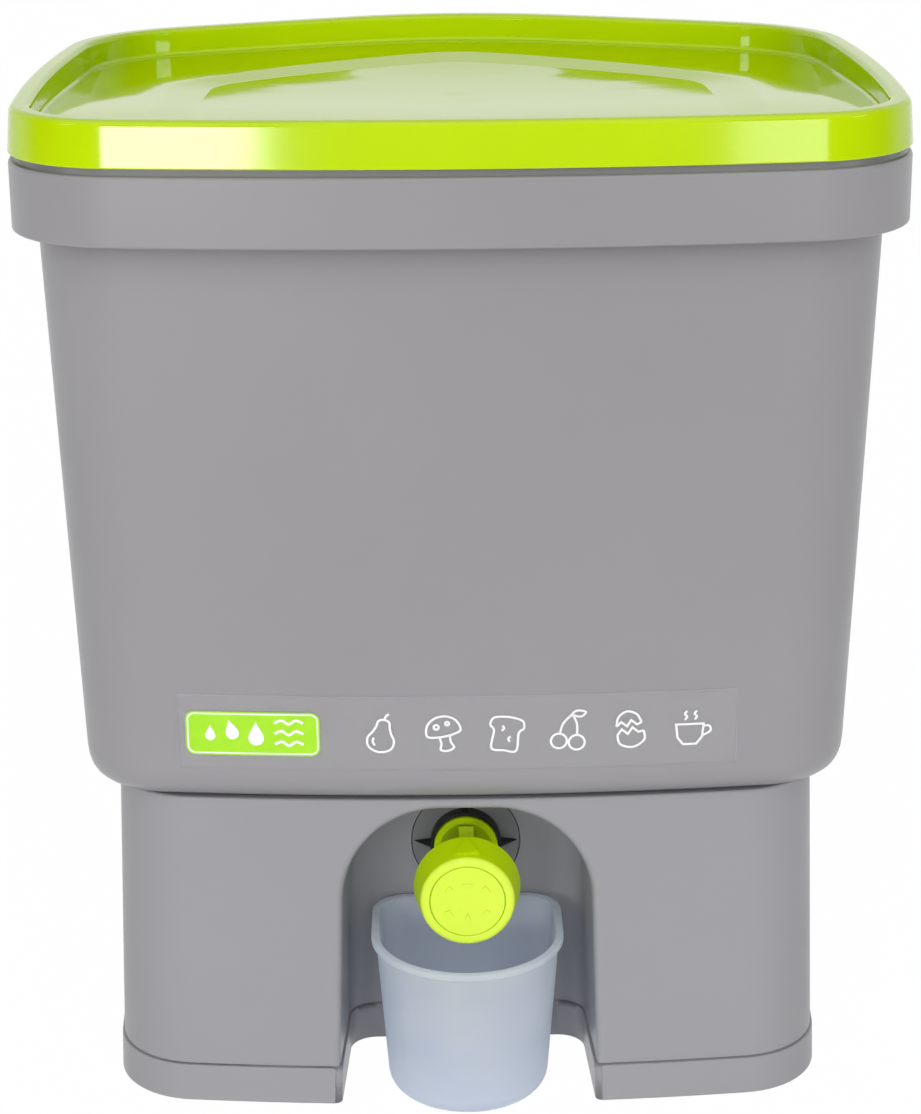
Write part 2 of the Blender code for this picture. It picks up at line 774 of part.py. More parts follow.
# Foot ring: a band that stands proud of the stand, with a tongue up inside it
foot_rings = [plan_ring(inset(stand_outline(0.0), foot_edge_chamfer - foot_proud), 0.0),
              plan_ring(inset(stand_outline(foot_edge_chamfer), -foot_proud), foot_edge_chamfer),
              plan_ring(inset(stand_outline(foot_height), -foot_proud), foot_height)]
foot_ring = loft("foot_ring", foot_rings, part_collection, foot_plastic)
tongue_inset = stand_wall + gap
tongue_top_z = foot_height + foot_tongue_height
tongue_root_z = foot_height - foot_tongue_root
tongue = loft("foot_tongue", stand_rings(tongue_root_z, tongue_top_z, tongue_inset), cutter_collection)
tongue_alcove = alcove_solid("tongue_alcove", tongue_inset, 0.0)
combine(tongue, tongue_alcove, "DIFFERENCE")
foot_cavity_low = loft("foot_cavity_low",
                       stand_rings(-overshoot, tongue_root_z - gap, foot_width - foot_proud),
                       cutter_collection)
foot_wall_low = alcove_solid("foot_wall_low", foot_width - foot_proud, 0.0)
combine(foot_cavity_low, foot_wall_low, "DIFFERENCE")
tongue_inner = tongue_inset + foot_tongue_wall
foot_cavity_high = loft("foot_cavity_high",
                        stand_rings(tongue_root_z - 2 * gap, tongue_top_z + overshoot, tongue_inner),
                        cutter_collection)
foot_wall_high = alcove_solid("foot_wall_high", tongue_inner, 0.0)
combine(foot_cavity_high, foot_wall_high, "DIFFERENCE")
foot_alcove = alcove_solid("foot_alcove", -foot_proud, alcove_edge_round)
combine(foot_ring, foot_alcove, "DIFFERENCE")
combine(foot_ring, tongue, "UNION")
combine(foot_ring, foot_cavity_low, "DIFFERENCE")
combine(foot_ring, foot_cavity_high, "DIFFERENCE")


# Strainer on the ledge, with lifting tabs
def strainer_rings():
    foot = body_outline(body_round_z)
    edge = with_corners(inset(foot, strainer_rim_inset - body_bottom_inset), strainer_corner,
                        foot["rear_corner"] + body_bottom_inset - strainer_rim_inset)
    rib_outer = with_corners(inset(foot, strainer_rib_inset - body_bottom_inset), strainer_corner,
                             foot["rear_corner"] + body_bottom_inset - strainer_rib_inset)
    rib_inner = inset(rib_outer, strainer_rib_width)
    rib_z = ledge_top_z + gap
    under_z = rib_z + strainer_rib_height
    top_z = under_z + strainer_plate
    return [plan_ring(rib_inner, under_z), plan_ring(rib_inner, rib_z), plan_ring(rib_outer, rib_z),
            plan_ring(rib_outer, under_z), plan_ring(edge, under_z), plan_ring(edge, top_z)]


strainer = loft("strainer", strainer_rings(), part_collection, strainer_grey)
strainer_under_z = ledge_top_z + gap + strainer_rib_height
strainer_top_z = strainer_under_z + strainer_plate


def inside_plan(x, y, outline):
    """True where a point lies inside an outline."""
    points = plan_points(outline)
    inside = False
    for first, second in zip(points, points[1:] + points[:1]):
        if (first.y > y) != (second.y > y):
            crossing = first.x + (y - first.y) * (second.x - first.x) / (second.y - first.y)
            if crossing > x:
                inside = not inside
    return inside


def strainer_hole_cutter():
    """All drain holes as one cutter of separate upright prisms."""
    border = with_corners(inset(rim, strainer_hole_border), strainer_corner, strainer_corner)
    work = bmesh.new()
    reach = int(half_width / strainer_hole_pitch)
    for row in range(-reach, reach + 1):
        for column in range(-reach, reach + 1):
            x = column * strainer_hole_pitch
            y = row * strainer_hole_pitch
            if not inside_plan(x, y, border):
                continue
            if abs(abs(x) - strainer_tab_x) < strainer_tab_width and row == 0:
                continue
            rows = []
            for z in (strainer_under_z - overshoot, strainer_top_z + overshoot):
                ring = []
                for step in range(strainer_hole_steps):
                    angle = 2 * math.pi * (step + 0.5) / strainer_hole_steps
                    ring.append(work.verts.new((x + strainer_hole_radius * math.cos(angle),
                                                y + strainer_hole_radius * math.sin(angle), z)))
                rows.append(ring)
            for step in range(strainer_hole_steps):
                after = (step + 1) % strainer_hole_steps
                work.faces.new((rows[0][step], rows[0][after], rows[1][after], rows[1][step]))
            work.faces.new(rows[0][::-1])
            work.faces.new(rows[1])
    bmesh.ops.recalc_face_normals(work, faces=work.faces)
    mesh = bpy.data.meshes.new("strainer_holes")
    work.to_mesh(mesh)
    work.free()
    return add_object("strainer_holes", mesh, cutter_collection)


def strainer_tab(name, x):
    """Upright tab with a rounded top, sunk a little into the plate."""
    half = strainer_tab_width / 2
    outline = [(-half, strainer_top_z - strainer_sink)]
    for step in range(circle_steps // 4 + 1):
        angle = math.pi * (1 - step / (circle_steps // 4))
        outline.append((half * math.cos(angle),
                        strainer_top_z + strainer_tab_height - half + half * math.sin(angle)))
    outline.append((half, strainer_top_z - strainer_sink))
    rings = [[Vector((x + side, y, z)) for y, z in outline]
             for side in (-strainer_tab_thickness / 2, strainer_tab_thickness / 2)]
    return loft(name, rings, cutter_collection)


combine(strainer, strainer_hole_cutter(), "DIFFERENCE")
combine(strainer, strainer_tab("strainer_tab_left", -strainer_tab_x), "UNION")
combine(strainer, strainer_tab("strainer_tab_right", strainer_tab_x), "UNION")


# Tap plate and gasket in the stand's round hole
tap_plate = tap_turned("tap_plate", [(plate_radius, plate_front_y), (plate_radius, plate_rear_y),
                                     (bore_radius, plate_rear_y), (bore_radius, plate_front_y)],
                       part_collection, plate_plastic, closed=True)
gasket_front_y = plate_rear_y + seat_gap
gasket_rear_y = sump_front - seat_gap
plate_gasket = tap_turned("plate_gasket", [(plate_radius, gasket_front_y), (plate_radius, gasket_rear_y),
                                           (bore_radius, gasket_rear_y), (bore_radius, gasket_front_y)],
                          part_collection, black_rubber, closed=True)

# Black collar with four gussets
collar_front_y = collar_rear_y - collar_ring_length
collar_profile = [(bore_radius, collar_rear_y), (bore_radius, collar_rear_y - collar_base),
                  (collar_ring_radius - collar_ring_wall, collar_rear_y - collar_base),
                  (collar_ring_radius - collar_ring_wall, collar_front_y),
                  (collar_ring_radius, collar_front_y), (collar_ring_radius, collar_rear_y)]
tap_collar = tap_turned("tap_collar", collar_profile, part_collection, black_plastic, closed=True)


def gusset(name, quarter_turns):
    """Triangular rib from the collar's ring down to the plate."""
    inner = collar_ring_radius - collar_ring_wall / 2
    base = collar_rear_y
    outline = [(inner, base), (gusset_reach, base), (inner, base - gusset_height)]
    rings = []
    for side in (-gusset_thickness / 2, gusset_thickness / 2):
        ring = []
        for radius, y in outline:
            along = (radius, side)
            for _ in range(quarter_turns):
                along = (-along[1], along[0])
            ring.append(Vector((along[0], y, tap_z + along[1])))
        rings.append(ring)
    return loft(name, rings, cutter_collection)


for quarter in range(4):
    combine(tap_collar, gusset("gusset_" + str(quarter), quarter), "UNION")

# Barrel: threaded tail, shoulder, tube, outlet and pointer tab
tail_rear_y = shoulder_rear_y + tail_length
barrel_profile = [(tail_bore_radius, tail_rear_y), (tail_radius, tail_rear_y),
                  (tail_radius, shoulder_rear_y), (shoulder_radius, shoulder_rear_y),
                  (shoulder_radius, shoulder_front_y + shoulder_round),
                  (shoulder_radius - shoulder_round, shoulder_front_y),
                  (tube_radius, shoulder_front_y), (tube_radius, tube_front_y),
                  (tube_bore_radius, tube_front_y), (tube_bore_radius, shoulder_rear_y),
                  (tail_bore_radius, shoulder_rear_y)]
tap_barrel = tap_turned("tap_barrel", barrel_profile, part_collection, tap_lime, closed=True)
tab_rear_y = shoulder_front_y - tab_setback
barrel_tab = block("barrel_tab",
                   (-tab_width / 2, tab_rear_y - tab_thickness, tap_z + tube_bore_radius + gap),
                   (tab_width / 2, tab_rear_y, tap_z + tab_top_radius), cutter_collection)
combine(tap_barrel, barrel_tab, "UNION")
barrel_outlet = block("barrel_outlet",
                      (-outlet_width / 2, outlet_centre_y - outlet_length / 2,
                       tap_z - tube_radius - overshoot),
                      (outlet_width / 2, outlet_centre_y + outlet_length / 2, tap_z), cutter_collection)
combine(tap_barrel, barrel_outlet, "DIFFERENCE")

# Washer and nut inside the sump
tap_washer = tap_turned("tap_washer",
                        [(washer_outer_radius, washer_front_y), (washer_outer_radius, washer_rear_y),
                         (bore_radius, washer_rear_y), (bore_radius, washer_front_y)],
                        part_collection, black_rubber, closed=True)
nut_steps = circle_steps + circle_steps // 8
nut_rings = []
for radius, y, sides in ((nut_outer_radius, nut_front_y, True), (nut_outer_radius, nut_rear_y, True),
                         (tail_radius + slip_gap, nut_rear_y, False),
                         (tail_radius + slip_gap, nut_front_y, False)):
    ring = []
    for step in range(nut_steps):
        angle = 2 * math.pi * step / nut_steps
        reach = radius
        if sides:
            off_flat = (angle % (math.pi / 3)) - math.pi / 6
            reach = radius * math.cos(math.pi / 6) / math.cos(off_flat)
        ring.append(Vector((reach * math.cos(angle), y, tap_z + reach * math.sin(angle))))
    nut_rings.append(ring)
tap_nut = loft("tap_nut", nut_rings, part_collection, nut_plastic, closed=True)

# Spool with its port, seal grooves and square peg
spool_radius = tube_bore_radius - slip_gap
groove_radius = spool_radius - spool_groove_depth
half_groove = spool_groove_width / 2
peg_front_y = web_rear_y + gap
spool_profile = [(spool_radius, spool_rear_y)]
for groove_y in (spool_seal_rear_y, spool_seal_front_y):
    spool_profile += [(spool_radius, groove_y + half_groove), (groove_radius, groove_y + half_groove),
                      (groove_radius, groove_y - half_groove), (spool_radius, groove_y - half_groove)]
spool_profile += [(spool_radius, head_rear_y), (spool_head_radius, head_rear_y),
                  (spool_head_radius, head_front_y)]
tap_spool = tap_turned("tap_spool", spool_profile, part_collection, spool_white)
spool_bore = tap_turned("spool_bore", [(spool_bore_radius, spool_rear_y + overshoot),
                                       (spool_bore_radius, spool_bore_end_y)], cutter_collection,
                        steps=small_circle_steps)
half_peg = spool_peg_side / 2
spool_peg = block("spool_peg", (-half_peg, peg_front_y, tap_z - half_peg),
                  (half_peg, head_front_y + spool_head_length / 2, tap_z + half_peg), cutter_collection)
port_rings = []
for z in (tap_z, tap_z + spool_radius + overshoot):
    port_rings.append([Vector((spool_port_radius * math.cos(2 * math.pi * step / small_circle_steps),
                               outlet_centre_y
                               + spool_port_radius * math.sin(2 * math.pi * step / small_circle_steps), z))
                       for step in range(small_circle_steps)])
spool_port = loft("spool_port", port_rings, cutter_collection)
spool_pilot = tap_turned("spool_pilot", [(spool_pilot_radius, peg_front_y - overshoot),
                                         (spool_pilot_radius, peg_front_y + spool_pilot_depth)],
                         cutter_collection, steps=small_circle_steps)
combine(tap_spool, spool_peg, "UNION")
combine(tap_spool, spool_bore, "DIFFERENCE")
combine(tap_spool, spool_port, "DIFFERENCE")
combine(tap_spool, spool_pilot, "DIFFERENCE")


# O-rings in the grooves
def seal_torus(name, y):
    centre_radius = groove_radius + seat_gap + spool_seal_section
    steps = small_circle_steps // 2
    profile = []
    for step in range(steps):
        angle = 2 * math.pi * step / steps
        profile.append((centre_radius + spool_seal_section * math.cos(angle),
                        y + spool_seal_section * math.sin(angle)))
    return tap_turned(name, profile, part_collection, black_rubber, closed=True)


spool_seal_rear = seal_torus("spool_seal_rear", spool_seal_rear_y)
spool_seal_front = seal_torus("spool_seal_front", spool_seal_front_y)

# Knob: tapered cap with a recess for the disc, a web and a hub
knob_profile = [(knob_recess_radius, web_front_y), (knob_recess_radius, knob_face_y),
                (knob_front_radius - knob_face_round, knob_face_y)]
for step in range(1, round_steps + 1):
    angle = 0.5 * math.pi * step / round_steps
    knob_profile.append((knob_front_radius - knob_face_round * (1 - math.sin(angle)),
                         knob_face_y + knob_face_round * (1 - math.cos(angle))))
knob_profile += [(knob_rear_radius, knob_rear_y - knob_rim_round),
                 (knob_rear_radius - knob_rim_round, knob_rear_y),
                 (knob_rear_radius - knob_wall, knob_rear_y),
                 (knob_front_radius - knob_wall, web_rear_y),
                 (knob_hub_radius, web_rear_y), (knob_hub_radius, web_rear_y + knob_hub_length)]
tap_knob = tap_turned("tap_knob", knob_profile, part_collection, knob_lime)


def knob_mark():
    """Raised triangle on the knob's top, pointing back at the barrel's tab."""
    length = knob_rear_y - knob_face_y
    point_y = knob_rear_y - knob_mark_start_share * length
    base_y = point_y - knob_mark_length

    def surface(y):
        share = (knob_rear_y - y) / length
        return knob_rear_radius + (knob_front_radius - knob_rear_radius) * share

    outline = [(0.0, point_y), (-knob_mark_width / 2, base_y), (knob_mark_width / 2, base_y)]
    rings = []
    for lift in (-knob_wall / 2, knob_mark_height):
        rings.append([Vector((x, y, tap_z + math.sqrt((surface(y) + lift) ** 2 - x ** 2)))
                      for x, y in outline])
    return loft("knob_mark", rings, cutter_collection)


combine(tap_knob, knob_mark(), "UNION")
half_socket = half_peg + slip_gap
knob_socket = block("knob_socket", (-half_socket, web_rear_y, tap_z - half_socket),
                    (half_socket, web_rear_y + knob_hub_length + overshoot, tap_z + half_socket),
                    cutter_collection)
knob_screw_hole = tap_turned("knob_screw_hole",
                             [(screw_head_radius + gap, web_front_y - overshoot),
                              (screw_head_radius + gap, web_front_y + screw_head_height + seat_gap),
                              (spool_pilot_radius, web_front_y + screw_head_height + seat_gap),
                              (spool_pilot_radius, web_rear_y + overshoot)], cutter_collection,
                             steps=small_circle_steps)
combine(tap_knob, knob_socket, "DIFFERENCE")
combine(tap_knob, knob_screw_hole, "DIFFERENCE")

screw_head_y = web_front_y
knob_screw = tap_turned("knob_screw",
                        [(screw_head_radius, screw_head_y),
                         (screw_head_radius, screw_head_y + screw_head_height),
                         (screw_shank_radius, screw_head_y + screw_head_height),
                         (screw_shank_radius, screw_head_y + screw_length)],
                        part_collection, screw_steel, steps=small_circle_steps)
disc_radius = knob_recess_radius - gap
knob_disc = tap_turned("knob_disc",
                       [(disc_radius - disc_edge_chamfer, knob_face_y),
                        (disc_radius, knob_face_y + disc_edge_chamfer),
                        (disc_radius, web_front_y - seat_gap)], part_collection, disc_lime)


# Collecting cup: round front, flat back
def cup_ring(distance, z, rear_corner):
    """D-shaped outline set in by a distance: half circle, straight sides, rounded rear corners."""
    wide = cup_half_width - distance
    corner = rear_corner
    centre_y = cup_front + cup_half_width
    rear = cup_rear - distance
    left = []
    for step in range(cup_front_steps + 1):
        angle = 0.5 * math.pi * step / cup_front_steps
        left.append((-wide * math.sin(angle), centre_y - wide * math.cos(angle)))
    for step in range(cup_corner_steps + 1):
        angle = 0.5 * math.pi * step / cup_corner_steps
        left.append((-wide + corner * (1 - math.cos(angle)), rear - corner * (1 - math.sin(angle))))
    right = [(-x, y) for x, y in left[:0:-1]]
    return [Vector((x, y, z)) for x, y in left + right]


def cup_rings():
    wall_z = cup_height - cup_rim_height
    rings = []

    def add(distance, z, corner_change=0.0):
        rings.append(cup_ring(distance, z, cup_rear_corner - distance - corner_change))

    body_top = cup_rim_width
    body_low = cup_rim_width + cup_draft * (wall_z - cup_bottom_round) / wall_z
    # Outside, from the floor up
    for distance, z in fillet_profile(body_low, cup_bottom_round, cup_bottom_round, round_steps)[::-1]:
        add(distance, z)
    add(body_low, cup_bottom_round)
    add(body_top, wall_z)
    add(0.0, wall_z)
    add(0.0, cup_height - cup_rim_round)
    add(cup_rim_round, cup_height)
    # Inside, down to the floor
    add(cup_rim_width + cup_wall - cup_rim_round, cup_height)
    add(cup_rim_width + cup_wall, cup_height - cup_rim_round)
    inner_low = body_low + cup_wall
    inner_round = cup_bottom_round - cup_wall
    for distance, z in [(inner_low, cup_floor + inner_round)] + fillet_profile(
            inner_low, cup_floor + inner_round, inner_round, round_steps):
        add(distance, z)
    return rings


cup = loft("cup", cup_rings(), part_collection, cup_plastic)


# Label film that follows the bucket's front
def label_film_solid():
    rings = []
    for outward, z in ((seat_gap, label_bottom_z), (seat_gap + label_thickness, label_bottom_z),
                       (seat_gap + label_thickness, label_top_z), (seat_gap, label_top_z)):
        outline = inset(body_outline(z), -outward)
        bow = outline["front_bow"]
        row = []
        for step in range(label_steps + 1):
            x = label_left + (label_right - label_left) * step / label_steps
            row.append(Vector((x, outline["front"] + bow - math.sqrt(bow ** 2 - x ** 2), z)))
        rings.append(row)
    columns = [[row[step] for row in rings] for step in range(label_steps + 1)]
    return loft("label_film", columns, part_collection, film_plastic)


label_film = label_film_solid()


# Origins of moving pieces on their joints
def move_origin(item, point):
    shift = Vector(point)
    for vertex in item.data.vertices:
        vertex.co -= shift
    item.location = shift


tap_axis = bpy.data.objects.new("tap_axis", None)
tap_axis.location = (0.0, knob_rear_y, tap_z)
part_collection.objects.link(tap_axis)
bpy.context.view_layer.update()
for piece in (tap_knob, knob_disc, knob_screw, tap_spool, spool_seal_rear, spool_seal_front):
    move_origin(piece, tap_axis.location)
    piece.parent = tap_axis
    piece.matrix_parent_inverse = tap_axis.matrix_world.inverted()
move_origin(lid, (0.0, 0.0, lid_skirt_bottom_z))
move_origin(lid_seal, (0.0, 0.0, lid_skirt_bottom_z))
move_origin(strainer, (0.0, 0.0, ledge_top_z))
move_origin(cup, (0.0, cup_front + cup_half_width, 0.0))
bpy.context.view_layer.update()
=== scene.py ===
import math

import bmesh
import bpy
import numpy as np
from mathutils import Matrix, Vector


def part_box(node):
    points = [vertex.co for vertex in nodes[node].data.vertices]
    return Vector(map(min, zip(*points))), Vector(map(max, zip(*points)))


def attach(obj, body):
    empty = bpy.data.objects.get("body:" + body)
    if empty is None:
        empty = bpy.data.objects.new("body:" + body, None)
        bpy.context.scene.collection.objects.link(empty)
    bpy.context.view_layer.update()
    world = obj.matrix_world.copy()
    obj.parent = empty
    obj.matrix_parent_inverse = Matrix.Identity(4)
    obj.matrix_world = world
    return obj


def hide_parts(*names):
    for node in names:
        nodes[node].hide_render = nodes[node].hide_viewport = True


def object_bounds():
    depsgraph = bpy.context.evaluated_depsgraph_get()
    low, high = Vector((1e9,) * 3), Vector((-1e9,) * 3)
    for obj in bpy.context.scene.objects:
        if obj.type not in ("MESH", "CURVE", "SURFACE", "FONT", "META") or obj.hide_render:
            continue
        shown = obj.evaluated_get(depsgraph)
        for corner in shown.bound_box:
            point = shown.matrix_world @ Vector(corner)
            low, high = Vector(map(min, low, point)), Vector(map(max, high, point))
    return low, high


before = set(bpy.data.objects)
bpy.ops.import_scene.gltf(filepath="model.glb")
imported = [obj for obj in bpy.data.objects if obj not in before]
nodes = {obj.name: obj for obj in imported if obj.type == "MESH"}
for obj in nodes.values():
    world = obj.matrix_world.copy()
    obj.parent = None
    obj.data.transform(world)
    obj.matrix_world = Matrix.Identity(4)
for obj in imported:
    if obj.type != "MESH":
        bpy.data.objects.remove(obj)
cadLow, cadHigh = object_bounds()
millimetre = 0.001  # every size below is in millimetres
print("frame loaded:", len(nodes), "nodes")


# Material helpers
def hexToLinear(text):
    values = []
    for place in (1, 3, 5):
        share = int(text[place:place + 2], 16) / 255
        values.append(share / 12.92 if share <= 0.04045 else ((share + 0.055) / 1.055) ** 2.4)
    return (*values, 1.0)


def addNode(tree, kind, settings=None, links=None):
    node = tree.nodes.new(kind)
    for key, value in (settings or {}).items():
        if isinstance(key, int) or key in node.inputs:
            node.inputs[key].default_value = value
        else:
            setattr(node, key, value)
    for key, socket in (links or {}).items():
        tree.links.new(socket, node.inputs[key])
    return node


# detail and roughness of the noise behind each pattern
patternKinds = {
    "streaks": (3.0, 0.5), "patches": (4.0, 0.6), "waves": (1.0, 0.5), "grain": (2.0, 0.7),
    "clouds": (2.0, 0.5), "ripples": (2.0, 0.5), "toolMarks": (3.0, 0.5),
}
noiseLow, noiseHigh = 0.3, 0.7  # nearly all of a noise's values lie between these


def makeFinish(name, look):
    # colour and roughness each follow one pattern, and relief stacks patterns from coarse to fine
    material = bpy.data.materials.new(name)
    material.use_nodes = True
    tree = material.node_tree
    shader = tree.nodes["Principled BSDF"]
    place = addNode(tree, "ShaderNodeTexCoord").outputs["Object"]
    for socket, value in look["sockets"].items():
        shader.inputs[socket].default_value = value
    fields = {}
    for kind, acrossMm in look["patternsMm"].items():
        detail, roughness = patternKinds[kind]
        settings = {"Scale": 1 / (acrossMm * millimetre), "Detail": detail, "Roughness": roughness}
        fields[kind] = addNode(tree, "ShaderNodeTexNoise", settings, {"Vector": place}).outputs["Fac"]
    ramp = addNode(tree, "ShaderNodeValToRGB", links={"Fac": fields[look["colourBy"]]})
    for element, position, text in zip(ramp.color_ramp.elements, (noiseLow, noiseHigh), look["hexes"]):
        element.position = position
        element.color = hexToLinear(text)
    tree.links.new(ramp.outputs["Color"], shader.inputs["Base Color"])
    roughLow, roughHigh = look["roughness"]
    gloss = addNode(tree, "ShaderNodeMapRange",
                    {"From Min": noiseLow, "From Max": noiseHigh, "To Min": roughLow, "To Max": roughHigh},
                    {"Value": fields[look["glossBy"]]})
    tree.links.new(gloss.outputs["Result"], shader.inputs["Roughness"])
    normal = {}
    for kind, heightMm in look["reliefMm"].items():
        bump = addNode(tree, "ShaderNodeBump", {"Strength": 1.0, "Distance": heightMm * millimetre},
                       {"Height": fields[kind], **normal})
        normal = {"Normal": bump.outputs["Normal"]}
    if normal:
        tree.links.new(normal["Normal"], shader.inputs["Normal"])
    if "through" in look:
        # each skin lets this share of the light through, blurred
        skin = addNode(tree, "ShaderNodeBsdfTranslucent", links={"Color": ramp.outputs["Color"], **normal})
        mixed = addNode(tree, "ShaderNodeMixShader", {0: look["through"]},
                        {1: shader.outputs["BSDF"], 2: skin.outputs["BSDF"]})
        tree.links.new(mixed.outputs["Shader"], tree.nodes["Material Output"].inputs["Surface"])
    return material


# Injection-moulded plastics: pigment streaks, patches of gloss, waves of the flow, grain of the mould
moulded = {"colourBy": "streaks", "glossBy": "patches", "sockets": {"IOR": 1.49}}

# Polypropylene in lime, moulded in a polished tool: mirror-like with a faint flow wave
limeLook = dict(
    moulded, hexes=("#BCDD00", "#C4E404"), roughness=(0.02, 0.045),
    patternsMm={"streaks": 90.0, "patches": 14.0, "waves": 26.0, "grain": 1.2},
    reliefMm={"waves": 0.008, "grain": 0.0002})
limeGloss = makeFinish("polypropyleneLimePolished", limeLook)

# The skirt's half of the tool is stoned, not polished: the lamps' edges blur on it
limeSkirt = makeFinish("polypropyleneLimeSkirt", dict(limeLook, roughness=(0.11, 0.13)))

# Polypropylene in warm grey, fine-etched tool: satin sheen, soft highlights
greyLook = dict(
    moulded, hexes=("#959396", "#99979A"), roughness=(0.30, 0.36),
    patternsMm={"streaks": 160.0, "patches": 30.0, "waves": 70.0, "grain": 0.9},
    reliefMm={"waves": 0.020, "grain": 0.0035})
greySatin = makeFinish("polypropyleneGreySatin", greyLook)

# The stand's grey is a shade cooler and duller
standLook = dict(greyLook, hexes=("#98979B", "#9C9B9F"), roughness=(0.34, 0.40))
standSatin = makeFinish("polypropyleneGreyStand", standLook)

# Polypropylene of the strainer, unpolished tool: dull and slightly uneven
strainerLook = dict(greyLook, hexes=("#828183", "#8A898B"), roughness=(0.42, 0.52))
strainerDull = makeFinish("polypropyleneStrainer", strainerLook)

# Polypropylene of the tap plate, half dull; its darker grey is painted shade, for the plate sits deep in the
# alcove
plateShadeLook = dict(greyLook, hexes=("#7C7B7D", "#828183"), roughness=(0.34, 0.44))
plateShadedSatin = makeFinish("polypropyleneTapPlatePaintedShade", plateShadeLook)

# Tap polypropylene in lime, spark-eroded tool: brighter, finely matt
tapLook = dict(
    moulded, hexes=("#C4E800", "#CCEE06"), roughness=(0.30, 0.40),
    sockets={"IOR": 1.49, "Specular IOR Level": 0.12},
    patternsMm={"streaks": 25.0, "patches": 5.0, "waves": 9.0, "grain": 0.5},
    reliefMm={"waves": 0.008, "grain": 0.004})
tapLime = makeFinish("polypropyleneLimeTap", tapLook)

# The disc is the same plastic with a finer surface; its paler colour is painted light, the lit look of a face
# turned to the lamps
discPaintedLitLook = dict(tapLook, hexes=("#D8F440", "#DFF84C"), roughness=(0.36, 0.46),
                sockets={"IOR": 1.49, "Specular IOR Level": 0.4})
discPaintedLitLime = makeFinish("polypropyleneLimeDiscPaintedLit", discPaintedLitLook)

# Glass-filled polypropylene in black: fine fibre mottling, half matt
blackLook = dict(
    moulded, hexes=("#161616", "#1E1E1E"), roughness=(0.34, 0.50),
    patternsMm={"streaks": 12.0, "patches": 4.0, "waves": 6.0, "grain": 0.4},
    reliefMm={"waves": 0.006, "grain": 0.006})
blackMoulded = makeFinish("glassFilledPolypropyleneBlack", blackLook)

# Acetal, natural: ivory white, waxy
acetalLook = dict(tapLook, hexes=("#E6E4DA", "#ECEAE2"), roughness=(0.24, 0.32),
                  sockets={"IOR": 1.48, "Specular IOR Level": 0.12})
acetalWhite = makeFinish("acetalNatural", acetalLook)

# EPDM rubber, compression moulded: deep black, dull bloom
rubberLook = dict(blackLook, hexes=("#1A1A1A", "#232322"), roughness=(0.70, 0.85), sockets={"IOR": 1.52})
rubberBlack = makeFinish("epdmRubber", rubberLook)

# Thermoplastic elastomer of the lid seal: pale, soft and dull
sealLook = dict(rubberLook, hexes=("#CFCFCB", "#D8D8D4"), roughness=(0.60, 0.72))
sealPale = makeFinish("elastomerPale", sealLook)

# Natural polypropylene cup, thin: bluish milk, satin, lets light through
cupLook = {
    "hexes": ("#EEF3FD", "#F4F8FE"), "roughness": (0.30, 0.38), "sockets": {"IOR": 1.49}, "through": 0.68,
    "patternsMm": {"clouds": 22.0, "waves": 18.0}, "colourBy": "clouds", "glossBy": "clouds",
    "reliefMm": {"waves": 0.02},
}
cupMilky = makeFinish("polypropyleneNatural", cupLook)

# Cast vinyl on an adhesive: nearly clear, a trace glossier than the plastic under it
filmLook = {
    "hexes": ("#EDEDEF", "#F3F3F5"), "roughness": (0.28, 0.34), "sockets": {"IOR": 1.49, "Alpha": 0.03},
    "patternsMm": {"ripples": 24.0}, "colourBy": "ripples", "glossBy": "ripples",
    "reliefMm": {"ripples": 0.01},
}
filmClear = makeFinish("vinylClear", filmLook)

# The vinyl's cut edge: greyer than the film and half clear, a thin outline round the film whose lighter tone
# over the grey plastic is a painted glint
edgeGlintLook = dict(filmLook, hexes=("#B4B3B8", "#BBBABF"), sockets={"IOR": 1.49, "Alpha": 0.55})
filmEdgeGlint = makeFinish("vinylEdgePaintedGlint", edgeGlintLook)

# Screen ink: flat, slightly uneven lay-down
inkLook = dict(filmLook, roughness=(0.40, 0.50), patternsMm={"ripples": 6.0}, sockets={"IOR": 1.49})
inkWhite = makeFinish("screenInkWhite", dict(inkLook, hexes=("#F4F4F4", "#FBFBFB")))
inkLime = makeFinish("screenInkLime", dict(inkLook, hexes=("#A6E61A", "#ACEC22")))

# Stainless steel, turned head: its fine tool marks show as a slight mottle
steelLook = {
    "hexes": ("#B4B4B6", "#C2C2C4"), "roughness": (0.22, 0.34), "sockets": {"Metallic": 1.0},
    "patternsMm": {"toolMarks": 0.4}, "colourBy": "toolMarks", "glossBy": "toolMarks", "reliefMm": {},
}
steelTurned = makeFinish("stainlessSteelTurned", steelLook)
print("materials made:", len(bpy.data.materials))


# Mesh helpers
edgeAngle = math.radians(50)  # a sharper bend than this shows as an edge
turnedEdgeAngle = math.radians(40)
longestArcShare = 0.48  # a rounded corner takes at most this share of each side next to it
overrun = 3.0  # how far most cutters reach past what they cut


def finishObject(name, mesh, materials, sharpAngle=edgeAngle):
    mesh.shade_smooth()
    mesh.set_sharp_from_angle(angle=sharpAngle)
    item = bpy.data.objects.new(name, mesh)
    bpy.context.scene.collection.objects.link(item)
    for material in materials:
        mesh.materials.append(material)
    weighted = item.modifiers.new("weightedNormals", "WEIGHTED_NORMAL")
    weighted.keep_sharp = True
    return item


def makeObject(name, rows, faces, materials, sharpAngle=edgeAngle):
    work = bmesh.new()
    points = [work.verts.new(Vector(point) * millimetre) for point in rows]
    for face in faces:
        work.faces.new([points[index] for index in face])
    bmesh.ops.recalc_face_normals(work, faces=work.faces)
    mesh = bpy.data.meshes.new(name)
    work.to_mesh(mesh)
    work.free()
    return finishObject(name, mesh, materials, sharpAngle)


